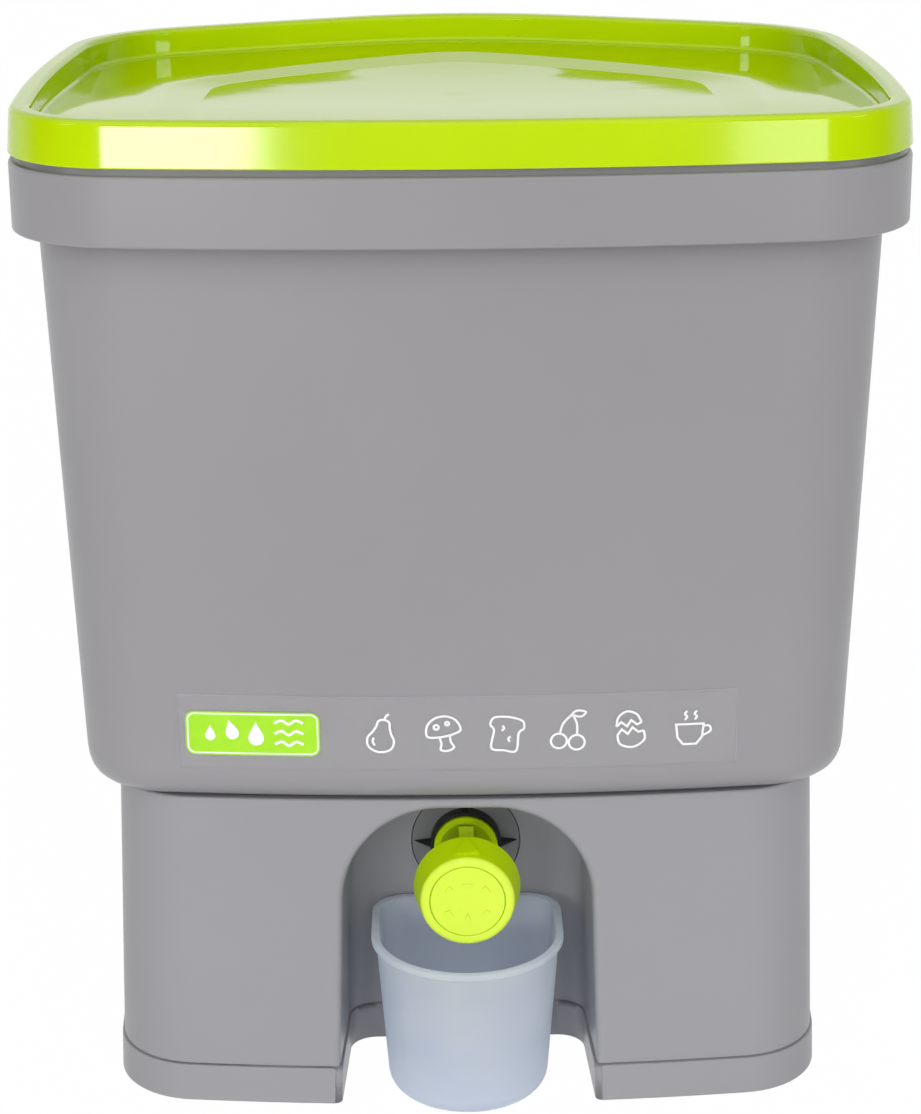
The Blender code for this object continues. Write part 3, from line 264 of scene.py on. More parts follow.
def roundCorner(before, corner, after, radius, steps):
    # arcs that replace the corner of many sections at once, as arrays of points
    back = before - corner
    ahead = after - corner
    backLength = np.linalg.norm(back, axis=1, keepdims=True)
    aheadLength = np.linalg.norm(ahead, axis=1, keepdims=True)
    back = back / backLength
    ahead = ahead / aheadLength
    cosine = np.clip((back * ahead).sum(1, keepdims=True), -1, 1)
    angle = np.arccos(cosine)
    limit = longestArcShare * np.minimum(backLength, aheadLength)
    reach = np.minimum(radius / np.tan(angle / 2), limit)
    bisector = back + ahead
    bisector = bisector / np.linalg.norm(bisector, axis=1, keepdims=True)
    centre = corner + bisector * reach / np.cos(angle / 2)
    first = corner + back * reach - centre
    last = corner + ahead * reach - centre
    turn = math.pi - angle
    arcs = []
    for step in range(steps + 1):
        share = step / steps
        arcs.append(centre + (np.sin((1 - share) * turn) * first + np.sin(share * turn) * last)
                    / np.maximum(np.sin(turn), 1e-9))
    return arcs


def roundedRings(corners, closed=False, steps=6):
    # corners: (ring of points, edge radius); a radius of zero keeps the edge
    rings = [np.array(ring, float) for ring, radius in corners]
    made = []
    count = len(rings)
    for index, (ring, radius) in enumerate(corners):
        inner = closed or 0 < index < count - 1
        if radius and inner:
            made += roundCorner(rings[index - 1], rings[index], rings[(index + 1) % count], radius, steps)
        else:
            made.append(rings[index])
    return made


def loft(name, rings, materials, closed=False, sharpAngle=edgeAngle):
    # a skin over the rings, with a cap at each end unless it closes on itself
    count = len(rings[0])
    points = [tuple(point) for ring in rings for point in ring]
    faces = []
    for row in range(len(rings) if closed else len(rings) - 1):
        above = ((row + 1) % len(rings)) * count
        for index in range(count):
            after = (index + 1) % count
            faces.append((row * count + index, row * count + after, above + after, above + index))
    if not closed:
        faces.append(tuple(range(count)))
        faces.append(tuple(range((len(rings) - 1) * count, len(rings) * count)))
    return makeObject(name, points, faces, materials, sharpAngle)


def combine(target, others, operation="DIFFERENCE"):
    # exact boolean, applied at once, with the normals' modifier kept last
    target.modifiers.remove(target.modifiers["weightedNormals"])
    for other in others:
        modifier = target.modifiers.new("cut", "BOOLEAN")
        modifier.operation = operation
        modifier.solver = "EXACT"
        modifier.object = other
    graph = bpy.context.evaluated_depsgraph_get()
    mesh = bpy.data.meshes.new_from_object(target.evaluated_get(graph))
    materials = list(target.data.materials)
    name = target.name
    for other in [*others, target]:
        bpy.data.objects.remove(other, do_unlink=True)
    mesh.materials.clear()
    return finishObject(name, mesh, materials)


def joined(name, items):
    # several closed solids as one piece, with the first one's materials
    work = bmesh.new()
    for item in items:
        work.from_mesh(item.data)
    mesh = bpy.data.meshes.new(name)
    work.to_mesh(mesh)
    work.free()
    materials = list(items[0].data.materials)
    for item in items:
        bpy.data.objects.remove(item, do_unlink=True)
    return finishObject(name, mesh, materials)


def dress(item, body, node):
    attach(item, body)
    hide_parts(node)


def quarterTurn(steps):
    return [0.5 * math.pi * step / steps for step in range(steps + 1)]


# Plan outlines
def inset(outline, distance):
    moved = {key: value - distance for key, value in outline.items()}
    moved["front"] = outline["front"] + distance
    moved["rearAngle"] = outline["rearAngle"]
    return moved


def withValues(outline, **values):
    return {**outline, **values}


def blendOutlines(first, second, share):
    return {key: first[key] + (second[key] - first[key]) * share for key in first}


def frontY(outline, x):
    bow = outline["frontBow"]
    return outline["front"] + bow - math.sqrt(bow ** 2 - x ** 2)


def circlesMeet(centreA, radiusA, centreB, radiusB, side):
    along = centreB - centreA
    distance = along.length
    along = along / distance
    offset = (radiusA ** 2 - radiusB ** 2 + distance ** 2) / (2 * distance)
    height = math.sqrt(max(radiusA ** 2 - offset ** 2, 0.0))
    return centreA + along * offset + Vector((-along.y, along.x)) * side * height


def arcPoints(centre, radius, first, last, steps):
    start = math.atan2(first.y - centre.y, first.x - centre.x)
    stop = math.atan2(last.y - centre.y, last.x - centre.x)
    turn = (stop - start + math.pi) % (2 * math.pi) - math.pi
    points = []
    for step in range(steps):
        angle = start + turn * step / steps
        points.append(centre + Vector((math.cos(angle), math.sin(angle))) * radius)
    return points


planSteps = {"front": 14, "frontCorner": 14, "side": 12, "rearCorner": 16, "rearArm": 8, "rear": 10}
sideMiddleY = -32.8


def planRing(outline, z):
    # bowed front and sides, and a rear of a middle arc and two flatter arms, all tangent,
    # from the front's middle over the left side and back
    frontCentre = Vector((0.0, outline["front"] + outline["frontBow"]))
    rearCentre = Vector((0.0, outline["rear"] - outline["rearBow"]))
    angle = math.radians(outline["rearAngle"])
    towardsArm = Vector((-math.sin(angle), math.cos(angle)))
    armStart = rearCentre + towardsArm * outline["rearBow"]
    armCentre = armStart - towardsArm * outline["rearArm"]
    sideCentre = Vector((outline["sideBow"] - outline["half"], sideMiddleY))
    frontCorner = outline["frontCorner"]
    rearCorner = outline["rearCorner"]
    cornerA = circlesMeet(frontCentre, outline["frontBow"] - frontCorner,
                          sideCentre, outline["sideBow"] - frontCorner, -1.0)
    cornerB = circlesMeet(armCentre, outline["rearArm"] - rearCorner,
                          sideCentre, outline["sideBow"] - rearCorner, 1.0)
    frontTouch = frontCentre + (cornerA - frontCentre).normalized() * outline["frontBow"]
    sideTouchA = sideCentre + (cornerA - sideCentre).normalized() * outline["sideBow"]
    sideTouchB = sideCentre + (cornerB - sideCentre).normalized() * outline["sideBow"]
    rearTouch = armCentre + (cornerB - armCentre).normalized() * outline["rearArm"]
    frontMiddle = Vector((0.0, outline["front"]))
    rearMiddle = Vector((0.0, outline["rear"]))
    stretches = [
        ("front", frontCentre, outline["frontBow"], frontMiddle, frontTouch),
        ("frontCorner", cornerA, frontCorner, frontTouch, sideTouchA),
        ("side", sideCentre, outline["sideBow"], sideTouchA, sideTouchB),
        ("rearCorner", cornerB, rearCorner, sideTouchB, rearTouch),
        ("rearArm", armCentre, outline["rearArm"], rearTouch, armStart),
        ("rear", rearCentre, outline["rearBow"], armStart, rearMiddle),
    ]
    left = []
    for name, centre, radius, first, last in stretches:
        left += arcPoints(centre, radius, first, last, planSteps[name])
    left.append(rearMiddle)
    right = [Vector((-point.x, point.y)) for point in left[-2:0:-1]]
    return [(point.x, point.y, z) for point in left + right]


rim = {
    "half": cadHigh.x / millimetre, "front": cadLow.y / millimetre, "rear": cadHigh.y / millimetre,
    "frontBow": 990.0, "sideBow": 960.0, "rearBow": 125.8, "rearArm": 1570.0, "rearAngle": 21.0,
    "frontCorner": 44.0, "rearCorner": 64.6,
}


def rimRing(distance, z):
    return planRing(inset(rim, distance), z)


def heights(node):
    low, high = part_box(node)
    return low.z / millimetre, high.z / millimetre


# Lid: skirt, crest, tray with a shallow dish
lidSizes = {
    "skirtInside": 2.0, "faceDraft": 1.3, "crestWidth": 9.0, "crestRadius": 2.2, "topThickness": 2.4,
    "trayDepth": 10.1, "trayRadius": 1.6, "faceHeight": 16.2, "floorThickness": 2.2,
    "plugInset": 7.0, "plugWall": 2.0, "edgeRadius": 0.5, "uprightShare": 0.5,
    "shelfInset": 48.5, "shelfEase": 4.0, "shelfShares": (0.3, 0.6, 1.0),
    "dishRear": 98.5, "dishBow": 25.0, "dishArm": 218.0, "dishAngle": 21.0, "dishCorners": (20.0, 46.0),
    "dishSlope": 15.0, "dishDepth": 1.6, "dishEdgeRadius": 1.2, "dishFlat": 4.0,
    "dishShares": (0.92, 0.84, 0.75, 0.65, 0.54, 0.42, 0.3, 0.18, 0.07),
}
# how the thin floor leans to the rear and sags round its gate, where it cooled last
warpSizes = {
    "lean": 0.017, "footY": 125.0, "frontY": -60.0, "easing": 12.0,
    "wideSag": 2.36, "wideY": 6.5, "wideReach": 92.8,
    "nearSag": 1.92, "nearY": 32.1, "nearReachX": 60.0, "powerX": 1.56,
    "nearFront": 198.7, "powerFront": 2.0, "nearRear": 48.6, "powerRear": 3.4,
}


def trayWarp(x, y):
    size = warpSizes
    y = size["frontY"] + size["easing"] * math.log1p(math.exp((y - size["frontY"]) / size["easing"]))
    wide = math.exp(-((y - size["wideY"]) / size["wideReach"]) ** 2)
    side = "Rear" if y > size["nearY"] else "Front"
    along = (abs(y - size["nearY"]) / size["near" + side]) ** size["power" + side]
    near = math.exp(-along - (abs(x) / size["nearReachX"]) ** size["powerX"])
    return size["lean"] * (size["footY"] - y) - size["wideSag"] * wide - size["nearSag"] * near


def trayRing(outline, z):
    return [(x, y, z + trayWarp(x, y)) for x, y, z in planRing(outline, z)]


def buildLid():
    size = lidSizes
    plugBottom, top = heights("lid")
    tray = top - size["trayDepth"]
    under = tray - size["floorThickness"]
    skirt = top - size["faceHeight"]
    ceiling = top - size["topThickness"]
    dish = tray - size["dishDepth"]
    dishUnder = dish - size["floorThickness"]
    edge = size["edgeRadius"]
    crest = size["crestRadius"]
    dishRound = size["dishEdgeRadius"]
    wall = size["crestWidth"]
    channel = size["skirtInside"] + size["faceDraft"]
    plugOut = size["plugInset"]
    plugIn = plugOut + size["plugWall"]
    front, rear = size["dishCorners"]
    bends = {"rearBow": size["dishBow"], "rearArm": size["dishArm"]}
    dishEdge = withValues(inset(rim, size["shelfInset"]), frontCorner=front, rearCorner=rear,
                          rear=size["dishRear"], rearAngle=size["dishAngle"], **bends)
    # the foot's rear keeps the edge's bends, so the slope is as wide from front to rear all along
    dishFoot = withValues(inset(dishEdge, size["dishSlope"]), **bends)
    dishInner = inset(dishFoot, size["dishFlat"])
    shelf = inset(rim, wall + size["trayRadius"] + size["shelfEase"])
    corners = [(trayRing(dishInner, dish), 0.0), (trayRing(dishFoot, dish), dishRound),
               (trayRing(dishEdge, tray), dishRound)]
    corners += [(trayRing(blendOutlines(dishEdge, shelf, share), tray), 0.0) for share in size["shelfShares"]]
    corners += [
        (trayRing(inset(rim, wall), tray), size["trayRadius"]),
        (rimRing(wall, top), crest), (rimRing(size["faceDraft"], top), crest),
        (rimRing(0.0, skirt), edge), (rimRing(size["skirtInside"], skirt), edge),
        (rimRing(channel, ceiling), 0.0), (rimRing(plugOut, ceiling), 0.0),
        (rimRing(plugOut, plugBottom), edge), (rimRing(plugIn, plugBottom), edge),
        (trayRing(inset(rim, plugIn), under), 0.0), (trayRing(dishEdge, under), dishRound),
        (trayRing(dishFoot, dishUnder), dishRound), (trayRing(dishInner, dishUnder), 0.0),
    ]
    # concentric rings carry the dish floor to its middle
    inward = []
    for share in size["dishShares"]:
        inward.append([(x * share, y * share, z + trayWarp(x * share, y * share))
                       for x, y, z in planRing(dishInner, dish)])
    downward = [np.array(ring) + (0.0, 0.0, -size["floorThickness"]) for ring in inward]
    lid = loft("lidShell", inward[::-1] + roundedRings(corners) + downward, [limeGloss, limeSkirt])
    for polygon in lid.data.polygons:
        centre, normal = polygon.center, polygon.normal
        outward = centre.x * normal.x + centre.y * normal.y > 0
        polygon.material_index = int(outward and abs(normal.z) < size["uprightShare"])
    dress(lid, "lid", "lid")


buildLid()
print("lid built")


# Bucket: lip, hanging collar, tapered body, rounded bottom edge and sump
bucketSizes = {
    "wall": 2.5, "lipOuter": 4.0, "lipInner": 6.4, "collarTop": 358.4, "collarHeight": 24.4,
    "collarWall": 2.5, "collarRadius": 1.2, "collarFootRadius": 0.9, "collarInsideRadius": 0.6,
    "lipShoulderDrop": 2.0, "lipShoulderFall": 1.8, "shoulderRadius": 0.6,
    "webOuterDrop": 2.8, "webInnerDrop": 6.6, "webRadius": 0.8,
    "topInset": 10.2, "topSideInset": 8.2, "bottomInset": 17.4, "bottomSideInset": 16.0,
    "bottomCorner": 32.0, "round": 14.0, "roundZ": 137.5, "wallSpans": 6,
    "sumpHalf": 121.0, "sumpRear": 106.5, "sumpFront": -69.05, "sumpFlat": 40000.0,
    "sumpCorner": 24.0, "sumpRearCorner": 46.0, "sumpDraft": 1.5, "sumpRadius": 6.0,
    "floorInset": 20.0, "ledgeRadius": 1.0, "edgeRadius": 0.4, "boreRadius": 8.9, "boreZ": 85.0,
}


def bodyOutline(z):
    size = bucketSizes
    top = withValues(inset(rim, size["topInset"]), half=rim["half"] - size["topSideInset"])
    bottom = withValues(inset(rim, size["bottomInset"]), half=rim["half"] - size["bottomSideInset"],
                        frontCorner=size["bottomCorner"])
    share = (size["collarTop"] - z) / (size["collarTop"] - size["roundZ"])
    return blendOutlines(top, bottom, share)


def bodyRing(distance, z):
    return planRing(inset(bodyOutline(z), distance), z)


def wallRings(top, distance):
    # between the top and the rounded bottom edge
    spans = bucketSizes["wallSpans"]
    zs = [top + (bucketSizes["roundZ"] - top) * step / spans for step in range(1, spans)]
    return [(bodyRing(distance, z), 0.0) for z in zs]


def sumpOutline(z):
    size = bucketSizes
    ledge = size["roundZ"] - size["round"]
    low = heights("bucket")[0]
    outline = {
        "half": size["sumpHalf"], "front": size["sumpFront"], "rear": size["sumpRear"],
        "frontBow": size["sumpFlat"], "sideBow": rim["sideBow"],
        "rearBow": rim["rearBow"] - rim["rear"] + size["sumpRear"],
        "rearArm": rim["rearArm"] - rim["rear"] + size["sumpRear"], "rearAngle": rim["rearAngle"],
        "frontCorner": size["sumpCorner"], "rearCorner": size["sumpRearCorner"],
    }
    share = (ledge - z) / (ledge - low)
    return withValues(inset(outline, size["sumpDraft"] * share), front=size["sumpFront"])


def buildBucket():
    size = bucketSizes
    low, lip = heights("bucket")
    wall = size["wall"]
    ledge = size["roundZ"] - size["round"]
    collarTop = size["collarTop"]
    collarLow = collarTop - size["collarHeight"]
    webInner = collarTop - size["webInnerDrop"]
    lipShoulder = collarTop - size["lipShoulderDrop"]
    shoulder = lipShoulder - size["lipShoulderFall"]
    edge = size["edgeRadius"]
    sumpFoot = sumpOutline(low)
    inside = [
        (planRing(inset(sumpFoot, size["floorInset"]), low + wall), 0.0),
        (planRing(inset(sumpFoot, wall), low + wall), size["sumpRadius"] - wall),
        (planRing(inset(sumpOutline(ledge + wall), wall), ledge + wall), size["ledgeRadius"]),
        (planRing(inset(bodyOutline(ledge), wall), ledge + wall), size["round"] - wall),
        *wallRings(shoulder, wall)[::-1],
        (bodyRing(wall, shoulder), size["shoulderRadius"]),
        (rimRing(size["lipInner"], lipShoulder), size["shoulderRadius"]),
        (rimRing(size["lipInner"], lip), edge),
    ]
    outside = [
        (rimRing(size["lipOuter"], lip), edge), (rimRing(size["lipOuter"], collarTop), 0.0),
        (rimRing(0.0, collarTop), size["collarRadius"]), (rimRing(0.0, collarLow), size["collarFootRadius"]),
        (rimRing(size["collarWall"], collarLow), size["collarInsideRadius"]),
        (rimRing(size["collarWall"], collarTop - size["webOuterDrop"]), 0.0),
        (bodyRing(0.0, webInner), size["webRadius"]), *wallRings(webInner, 0.0),
        (bodyRing(0.0, ledge), size["round"]), (planRing(sumpOutline(ledge), ledge), 0.0),
        (planRing(sumpFoot, low), size["sumpRadius"]),
        (planRing(inset(sumpFoot, size["floorInset"]), low), 0.0),
    ]
    # from the sump floor's inside over the lip to its outside, so that both floors are caps
    bucket = loft("bucketShell", roundedRings(inside + outside), [greySatin])
    bore = turned("bucketBore", [(size["boreRadius"], size["sumpFront"] - overrun),
                                 (size["boreRadius"], size["sumpFront"] + wall + overrun)], [])
    dress(combine(bucket, [bore]), "base", "bucket")


# Turned shapes round the tap's axis
tapZ = bucketSizes["boreZ"]
turnSteps = 96


def roundedProfile(points, closed=True, steps=4):
    # points: (radius, y, edge radius)
    corners = [(np.array([[radius, y, 0.0]]), edge) for radius, y, edge in points]
    return [(float(ring[0][0]), float(ring[0][1])) for ring in roundedRings(corners, closed, steps)]


def turned(name, profile, materials, closed=False, steps=turnSteps):
    angles = [2 * math.pi * step / steps for step in range(steps)]
    rings = [[(radius * math.cos(angle), y, tapZ + radius * math.sin(angle)) for angle in angles]
             for radius, y in profile]
    return loft(name, rings, materials, closed, turnedEdgeAngle)


buildBucket()
print("bucket built")


# Stand and foot ring with the arched alcove
standSizes = {
    "topHalf": 132.6, "topFront": -120.65, "topRear": 117.1,
    "footHalf": 135.9, "footFront": -125.4, "footRear": 121.8,
    "frontCorner": 32.0, "rearCorner": 52.0, "wall": 2.5, "topThickness": 2.5, "topEdge": 1.0,
    "footHeight": 14.8, "footProud": 0.8, "footWidth": 6.0, "edgeRadius": 0.5, "groundEdge": 0.8,
    "tongueHeight": 6.2, "tongueWall": 2.1, "tongueRoot": 3.0, "tongueEdge": 0.4, "gap": 0.3,
    "sumpGap": 0.6, "capInset": 8.0,
}
alcoveSizes = {
    "half": 46.6, "rearHalf": 44.6, "top": 119.1, "archRadius": 37.0, "sideFlare": 2.4,
    "rearY": -71.85, "rearRound": 11.0, "edgeRound": 2.8, "reach": 30.0, "below": 5.0,
    "archSteps": 20, "roundSteps": 8, "sideShares": (0.0, 0.2, 0.4, 0.6, 0.8),
    "plateRadius": 21.3, "plateHoleDepth": 4.0,
}


def standOutline(z):
    size = standSizes
    ends = [withValues(inset(rim, rim["half"] - size[end + "Half"]), half=size[end + "Half"],
                       front=size[end + "Front"], rear=size[end + "Rear"],
                       frontCorner=size["frontCorner"], rearCorner=size["rearCorner"])
            for end in ("top", "foot")]
    high = heights("stand")[1]
    return blendOutlines(*ends, (high - z) / (high - size["footHeight"]))


def alcoveSection(half, outset):
    size = alcoveSizes
    radius = size["archRadius"] + outset
    wide = half + outset
    spring = size["top"] - size["archRadius"]
    flare = size["sideFlare"] / spring
    left = []
    for share in size["sideShares"]:
        z = -size["below"] + (spring + size["below"]) * share
        left.append((-(wide + (spring - z) * flare), z))
    left += [(-(wide - radius + radius * math.cos(angle)), spring + radius * math.sin(angle))
             for angle in quarterTurn(size["archSteps"])]
    return left + [(-x, z) for x, z in left[::-1]]


def alcoveCutter(name, outset, edgeRound):
    size = alcoveSizes
    depths = [-size["reach"]]
    if edgeRound:
        depths += [edgeRound * (1 - math.cos(angle)) for angle in quarterTurn(size["roundSteps"])]
    rings = []
    for depth in depths:
        inside = min(max(edgeRound - depth, 0.0), edgeRound)
        flare = edgeRound - math.sqrt(edgeRound ** 2 - inside ** 2)
        section = alcoveSection(size["half"], outset + flare)
        rings.append([(x, frontY(standOutline(z), x) + depth, z) for x, z in section])
    rearY = size["rearY"] + outset
    rearRound = size["rearRound"] + outset
    for angle in quarterTurn(size["roundSteps"]):
        y = rearY - rearRound * (1 - math.sin(angle))
        section = alcoveSection(size["rearHalf"], outset - rearRound * (1 - math.cos(angle)))
        rings.append([(x, y, z) for x, z in section])
    return loft(name, rings, [])


def standSolid(name, levels, distance, materials=()):
    # levels: (z, edge radius) from low to high, with a smaller ring at each end as the cap's edge
    def ring(z, more=0.0):
        return planRing(inset(standOutline(z), distance + more), z)

    corners = [(ring(levels[0][0], standSizes["capInset"]), 0.0)]
    corners += [(ring(z), edge) for z, edge in levels]
    corners.append((ring(levels[-1][0], standSizes["capInset"]), 0.0))
    return loft(name, roundedRings(corners, steps=3), materials)


def buildStand():
    size = standSizes
    low, high = heights("stand")
    stand = standSolid("standSkirt", [(low, size["edgeRadius"]), (high, size["topEdge"])], 0.0, [standSatin])
    cavity = standSolid("standCavity", [(low - overrun, 0.0), (high - size["topThickness"], 0.0)],
                        size["wall"])
    cavity = combine(cavity, [alcoveCutter("alcoveWall", size["wall"], 0.0)])
    sump = inset(sumpOutline(high), -size["sumpGap"])
    hole = loft("standHole", [planRing(sump, z) for z in (high - 2 * overrun, high + overrun)], [])
    rearY, radius = alcoveSizes["rearY"], alcoveSizes["plateRadius"]
    plateHole = turned("plateHole", [(radius, rearY - overrun),
                                     (radius, rearY + alcoveSizes["plateHoleDepth"])], [])
    alcove = alcoveCutter("alcove", 0.0, alcoveSizes["edgeRound"])
    dress(combine(stand, [cavity, alcove, hole, plateHole]), "base", "stand")


def buildFootRing():
    size = standSizes
    proud, gap, high = size["footProud"], size["gap"], size["footHeight"]
    ring = standSolid("footRing", [(0.0, size["groundEdge"]), (high, size["edgeRadius"])], -proud,
                      [standSatin])
    tongueInset = size["wall"] + gap
    root = high - size["tongueRoot"]
    tongueTop = high + size["tongueHeight"]
    tongue = standSolid("footTongue", [(root, 0.0), (tongueTop, size["tongueEdge"])], tongueInset)
    tongue = combine(tongue, [alcoveCutter("tongueAlcove", tongueInset, 0.0)])
    outer = size["footWidth"] - proud
    lowCavity = standSolid("footCavityLow", [(-overrun, 0.0), (root - gap, 0.0)], outer)
    lowCavity = combine(lowCavity, [alcoveCutter("footWallLow", outer, 0.0)])
    inner = tongueInset + size["tongueWall"]
    highCavity = standSolid("footCavityHigh", [(root - 2 * gap, 0.0), (tongueTop + overrun, 0.0)], inner)
    highCavity = combine(highCavity, [alcoveCutter("footWallHigh", inner, 0.0)])
    ring = combine(ring, [alcoveCutter("footAlcove", -proud, alcoveSizes["edgeRound"])])
    ring = combine(ring, [tongue], "UNION")
    dress(combine(ring, [lowCavity, highCavity]), "base", "foot_ring")


buildStand()
buildFootRing()
print("stand and foot ring built")


# Strainer: drilled plate with a rib under it and two lifting tabs
strainerSizes = {
    "rimInset": 24.5, "ribInset": 30.5, "ribWidth": 2.0, "ribEdge": 0.3, "corner": 24.0, "plate": 2.5,
    "ribHeight": 3.2, "capInset": 6.0, "holeRadius": 2.5, "holePitch": 24.0, "holeBorder": 58.0,
    "holeSteps": 16, "holeOverrun": 2.0, "tabWidth": 26.0, "tabHeight": 18.0, "tabThickness": 3.0,
    "tabX": 84.0, "tabSteps": 24, "sink": 1.0, "edge": 0.4,
}


def insidePlan(x, y, ring):
    inside = False
    for first, second in zip(ring, ring[1:] + ring[:1]):
        if (first[1] > y) != (second[1] > y):
            if first[0] + (y - first[1]) * (second[0] - first[0]) / (second[1] - first[1]) > x:
                inside = not inside
    return inside


def strainerTab(x, top):
    size = strainerSizes
    half = size["tabWidth"] / 2
    outline = [(-half, top - size["sink"])]
    for step in range(size["tabSteps"] + 1):
        angle = math.pi * (1 - step / size["tabSteps"])
        outline.append((half * math.cos(angle), top + size["tabHeight"] - half + half * math.sin(angle)))
    outline.append((half, top - size["sink"]))
    thick = size["tabThickness"] / 2
    return loft("strainerTab", [[(x + side, y, z) for y, z in outline] for side in (-thick, thick)], [])


def strainerHoles(under, top):
    size = strainerSizes
    border = planRing(withValues(inset(rim, size["holeBorder"]), frontCorner=size["corner"],
                                 rearCorner=size["corner"]), 0.0)
    points, faces = [], []
    reach = int(rim["half"] / size["holePitch"])
    steps = size["holeSteps"]
    for row in range(-reach, reach + 1):
        for column in range(-reach, reach + 1):
            x, y = column * size["holePitch"], row * size["holePitch"]
            nearTab = abs(abs(x) - size["tabX"]) < size["tabWidth"] and row == 0
            if nearTab or not insidePlan(x, y, border):
                continue
            start = len(points)
            for z in (under - size["holeOverrun"], top + size["holeOverrun"]):
                for step in range(steps):
                    angle = 2 * math.pi * (step + 0.5) / steps
                    points.append((x + size["holeRadius"] * math.cos(angle),
                                   y + size["holeRadius"] * math.sin(angle), z))
            for step in range(steps):
                after = (step + 1) % steps
                faces.append((start + step, start + after, start + steps + after, start + steps + step))
            faces.append(tuple(range(start, start + steps)))
            faces.append(tuple(range(start + steps, start + 2 * steps)))
    return makeObject("strainerHoles", points, faces, [])


def buildStrainer():
    size = strainerSizes
    low = heights("strainer")[0]
    under = low + size["ribHeight"]
    top = under + size["plate"]
    foot = bodyOutline(bucketSizes["roundZ"])

    def around(distance):
        move = distance - bucketSizes["bottomInset"]
        return withValues(inset(foot, move), frontCorner=size["corner"],
                          rearCorner=foot["rearCorner"] - move)

    ribOut = around(size["ribInset"])
    ribIn = inset(ribOut, size["ribWidth"])
    edge = around(size["rimInset"])
    corners = [(planRing(ribIn, under), 0.0), (planRing(ribIn, low), size["ribEdge"]),
               (planRing(ribOut, low), size["ribEdge"]), (planRing(ribOut, under), size["ribEdge"]),
               (planRing(edge, under), size["edge"]), (planRing(edge, top), size["edge"]),
               (planRing(inset(edge, size["capInset"]), top), 0.0)]
    plate = loft("strainerPlate", roundedRings(corners, steps=3), [strainerDull])
    plate = combine(plate, [strainerHoles(under, top)])
    plate = combine(plate, [strainerTab(-size["tabX"], top), strainerTab(size["tabX"], top)], "UNION")
    dress(plate, "strainer", "strainer")


buildStrainer()
print("strainer built")


# Tap: plate, collar with gussets, barrel, knob and disc
tapSizes = {
    "plateRadius": 21.0, "plateFront": -71.85, "plateRear": -70.35, "bore": 8.9,
    "plateFrontEdge": 0.3, "plateRearEdge": 0.2,
    "collarRear": -71.95, "collarLength": 5.6, "collarRadius": 13.7, "collarWall": 1.2, "collarBase": 1.5,
    "gussets": 4, "gussetReach": 19.9, "gussetHeight": 4.6, "gussetThickness": 2.3, "gussetTip": 0.15,
    "shoulderRear": -73.55, "shoulderLength": 5.4, "shoulderRadius": 12.4, "shoulderRearEdge": 0.3,
    "shoulderEdge": 0.7, "tailRadius": 8.6, "tailBore": 6.3, "tailLength": 18.8, "tailEdge": 0.5,
    "tubeRadius": 10.0, "tubeBore": 7.8, "tubeLength": 37.5, "tubeRoot": 0.6, "tubeEdge": 0.3,
    "tabWidth": 5.7, "tabThickness": 2.0, "tabTop": 15.0, "tabSetback": 12.5, "tabSink": 0.3,
    "outletY": -97.5, "outletSize": 9.0, "cutOverrun": 2.0,
    "knobFace": -127.35, "knobRear": -112.9, "knobRearRadius": 20.2, "knobFrontRadius": 17.4,
    "knobFaceRound": 2.2, "knobWall": 2.2, "knobWeb": 2.9, "knobRearEdge": 0.7, "knobInnerEdge": 0.4,
    "knobWebRound": 0.8, "recessDepth": 1.45, "recessRadius": 14.1, "recessEdge": 0.45, "recessBand": 10.0,
    "hubRadius": 7.2, "hubLength": 3.1, "hubEdge": 0.3, "hubBand": 3.0, "socketHalf": 3.5,
    "screwHeadRadius": 3.4, "screwHeadDepth": 1.5, "screwRadius": 1.6, "screwSteps": 32,
    "markLength": 9.0, "markWidth": 9.4, "markHeight": 0.5, "markStartShare": 0.13, "markSteps": 8,
    "paintedLitDepth": 1.0, "paintedLitSlopeShare": 0.35,
    "discGap": 0.22, "discRearGap": 0.1, "discMiddle": 2.0, "edge": 0.35,
}


def buildTapPlate():
    size = tapSizes
    radius, bore, front, rear = (size[key] for key in ("plateRadius", "bore", "plateFront", "plateRear"))
    profile = roundedProfile([(radius, front, size["plateFrontEdge"]), (radius, rear, size["plateRearEdge"]),
                              (bore, rear, 0.0), (bore, front, 0.0)])
    dress(turned("tapPlateDisc", profile, [plateShadedSatin], closed=True), "base", "tap_plate")


def gussetSolid(turns):
    size = tapSizes
    inner = size["collarRadius"] - size["collarWall"] / 2
    base = size["collarRear"]
    outline = [(inner, base, 1.0), (size["gussetReach"], base, size["gussetTip"]),
               (inner, base - size["gussetHeight"], 1.0)]
    half = size["gussetThickness"] / 2
    rings = []
    for side in (-half, half):
        ring = []
        for radius, y, share in outline:
            across, up = radius, side * share
            for turn in range(turns):
                across, up = -up, across
            ring.append((across, y, tapZ + up))
        rings.append(ring)
    return loft("gusset", rings, [])


def buildCollar():
    size = tapSizes
    rear, outer, edge = size["collarRear"], size["collarRadius"], size["edge"]
    front = rear - size["collarLength"]
    base = rear - size["collarBase"]
    inner = outer - size["collarWall"]
    profile = roundedProfile([(size["bore"], rear, 0.0), (size["bore"], base, 0.0), (inner, base, 0.0),
                              (inner, front, edge), (outer, front, edge), (outer, rear, 0.0)])
    collar = turned("tapCollarRing", profile, [blackMoulded], closed=True)
    collar = combine(collar, [gussetSolid(turns) for turns in range(size["gussets"])], "UNION")
    dress(collar, "base", "tap_collar")


def barBlock(name, low, high):
    corners = [(low[0], low[1]), (high[0], low[1]), (high[0], high[1]), (low[0], high[1])]
    return loft(name, [[(x, y, z) for x, y in corners] for z in (low[2], high[2])], [])


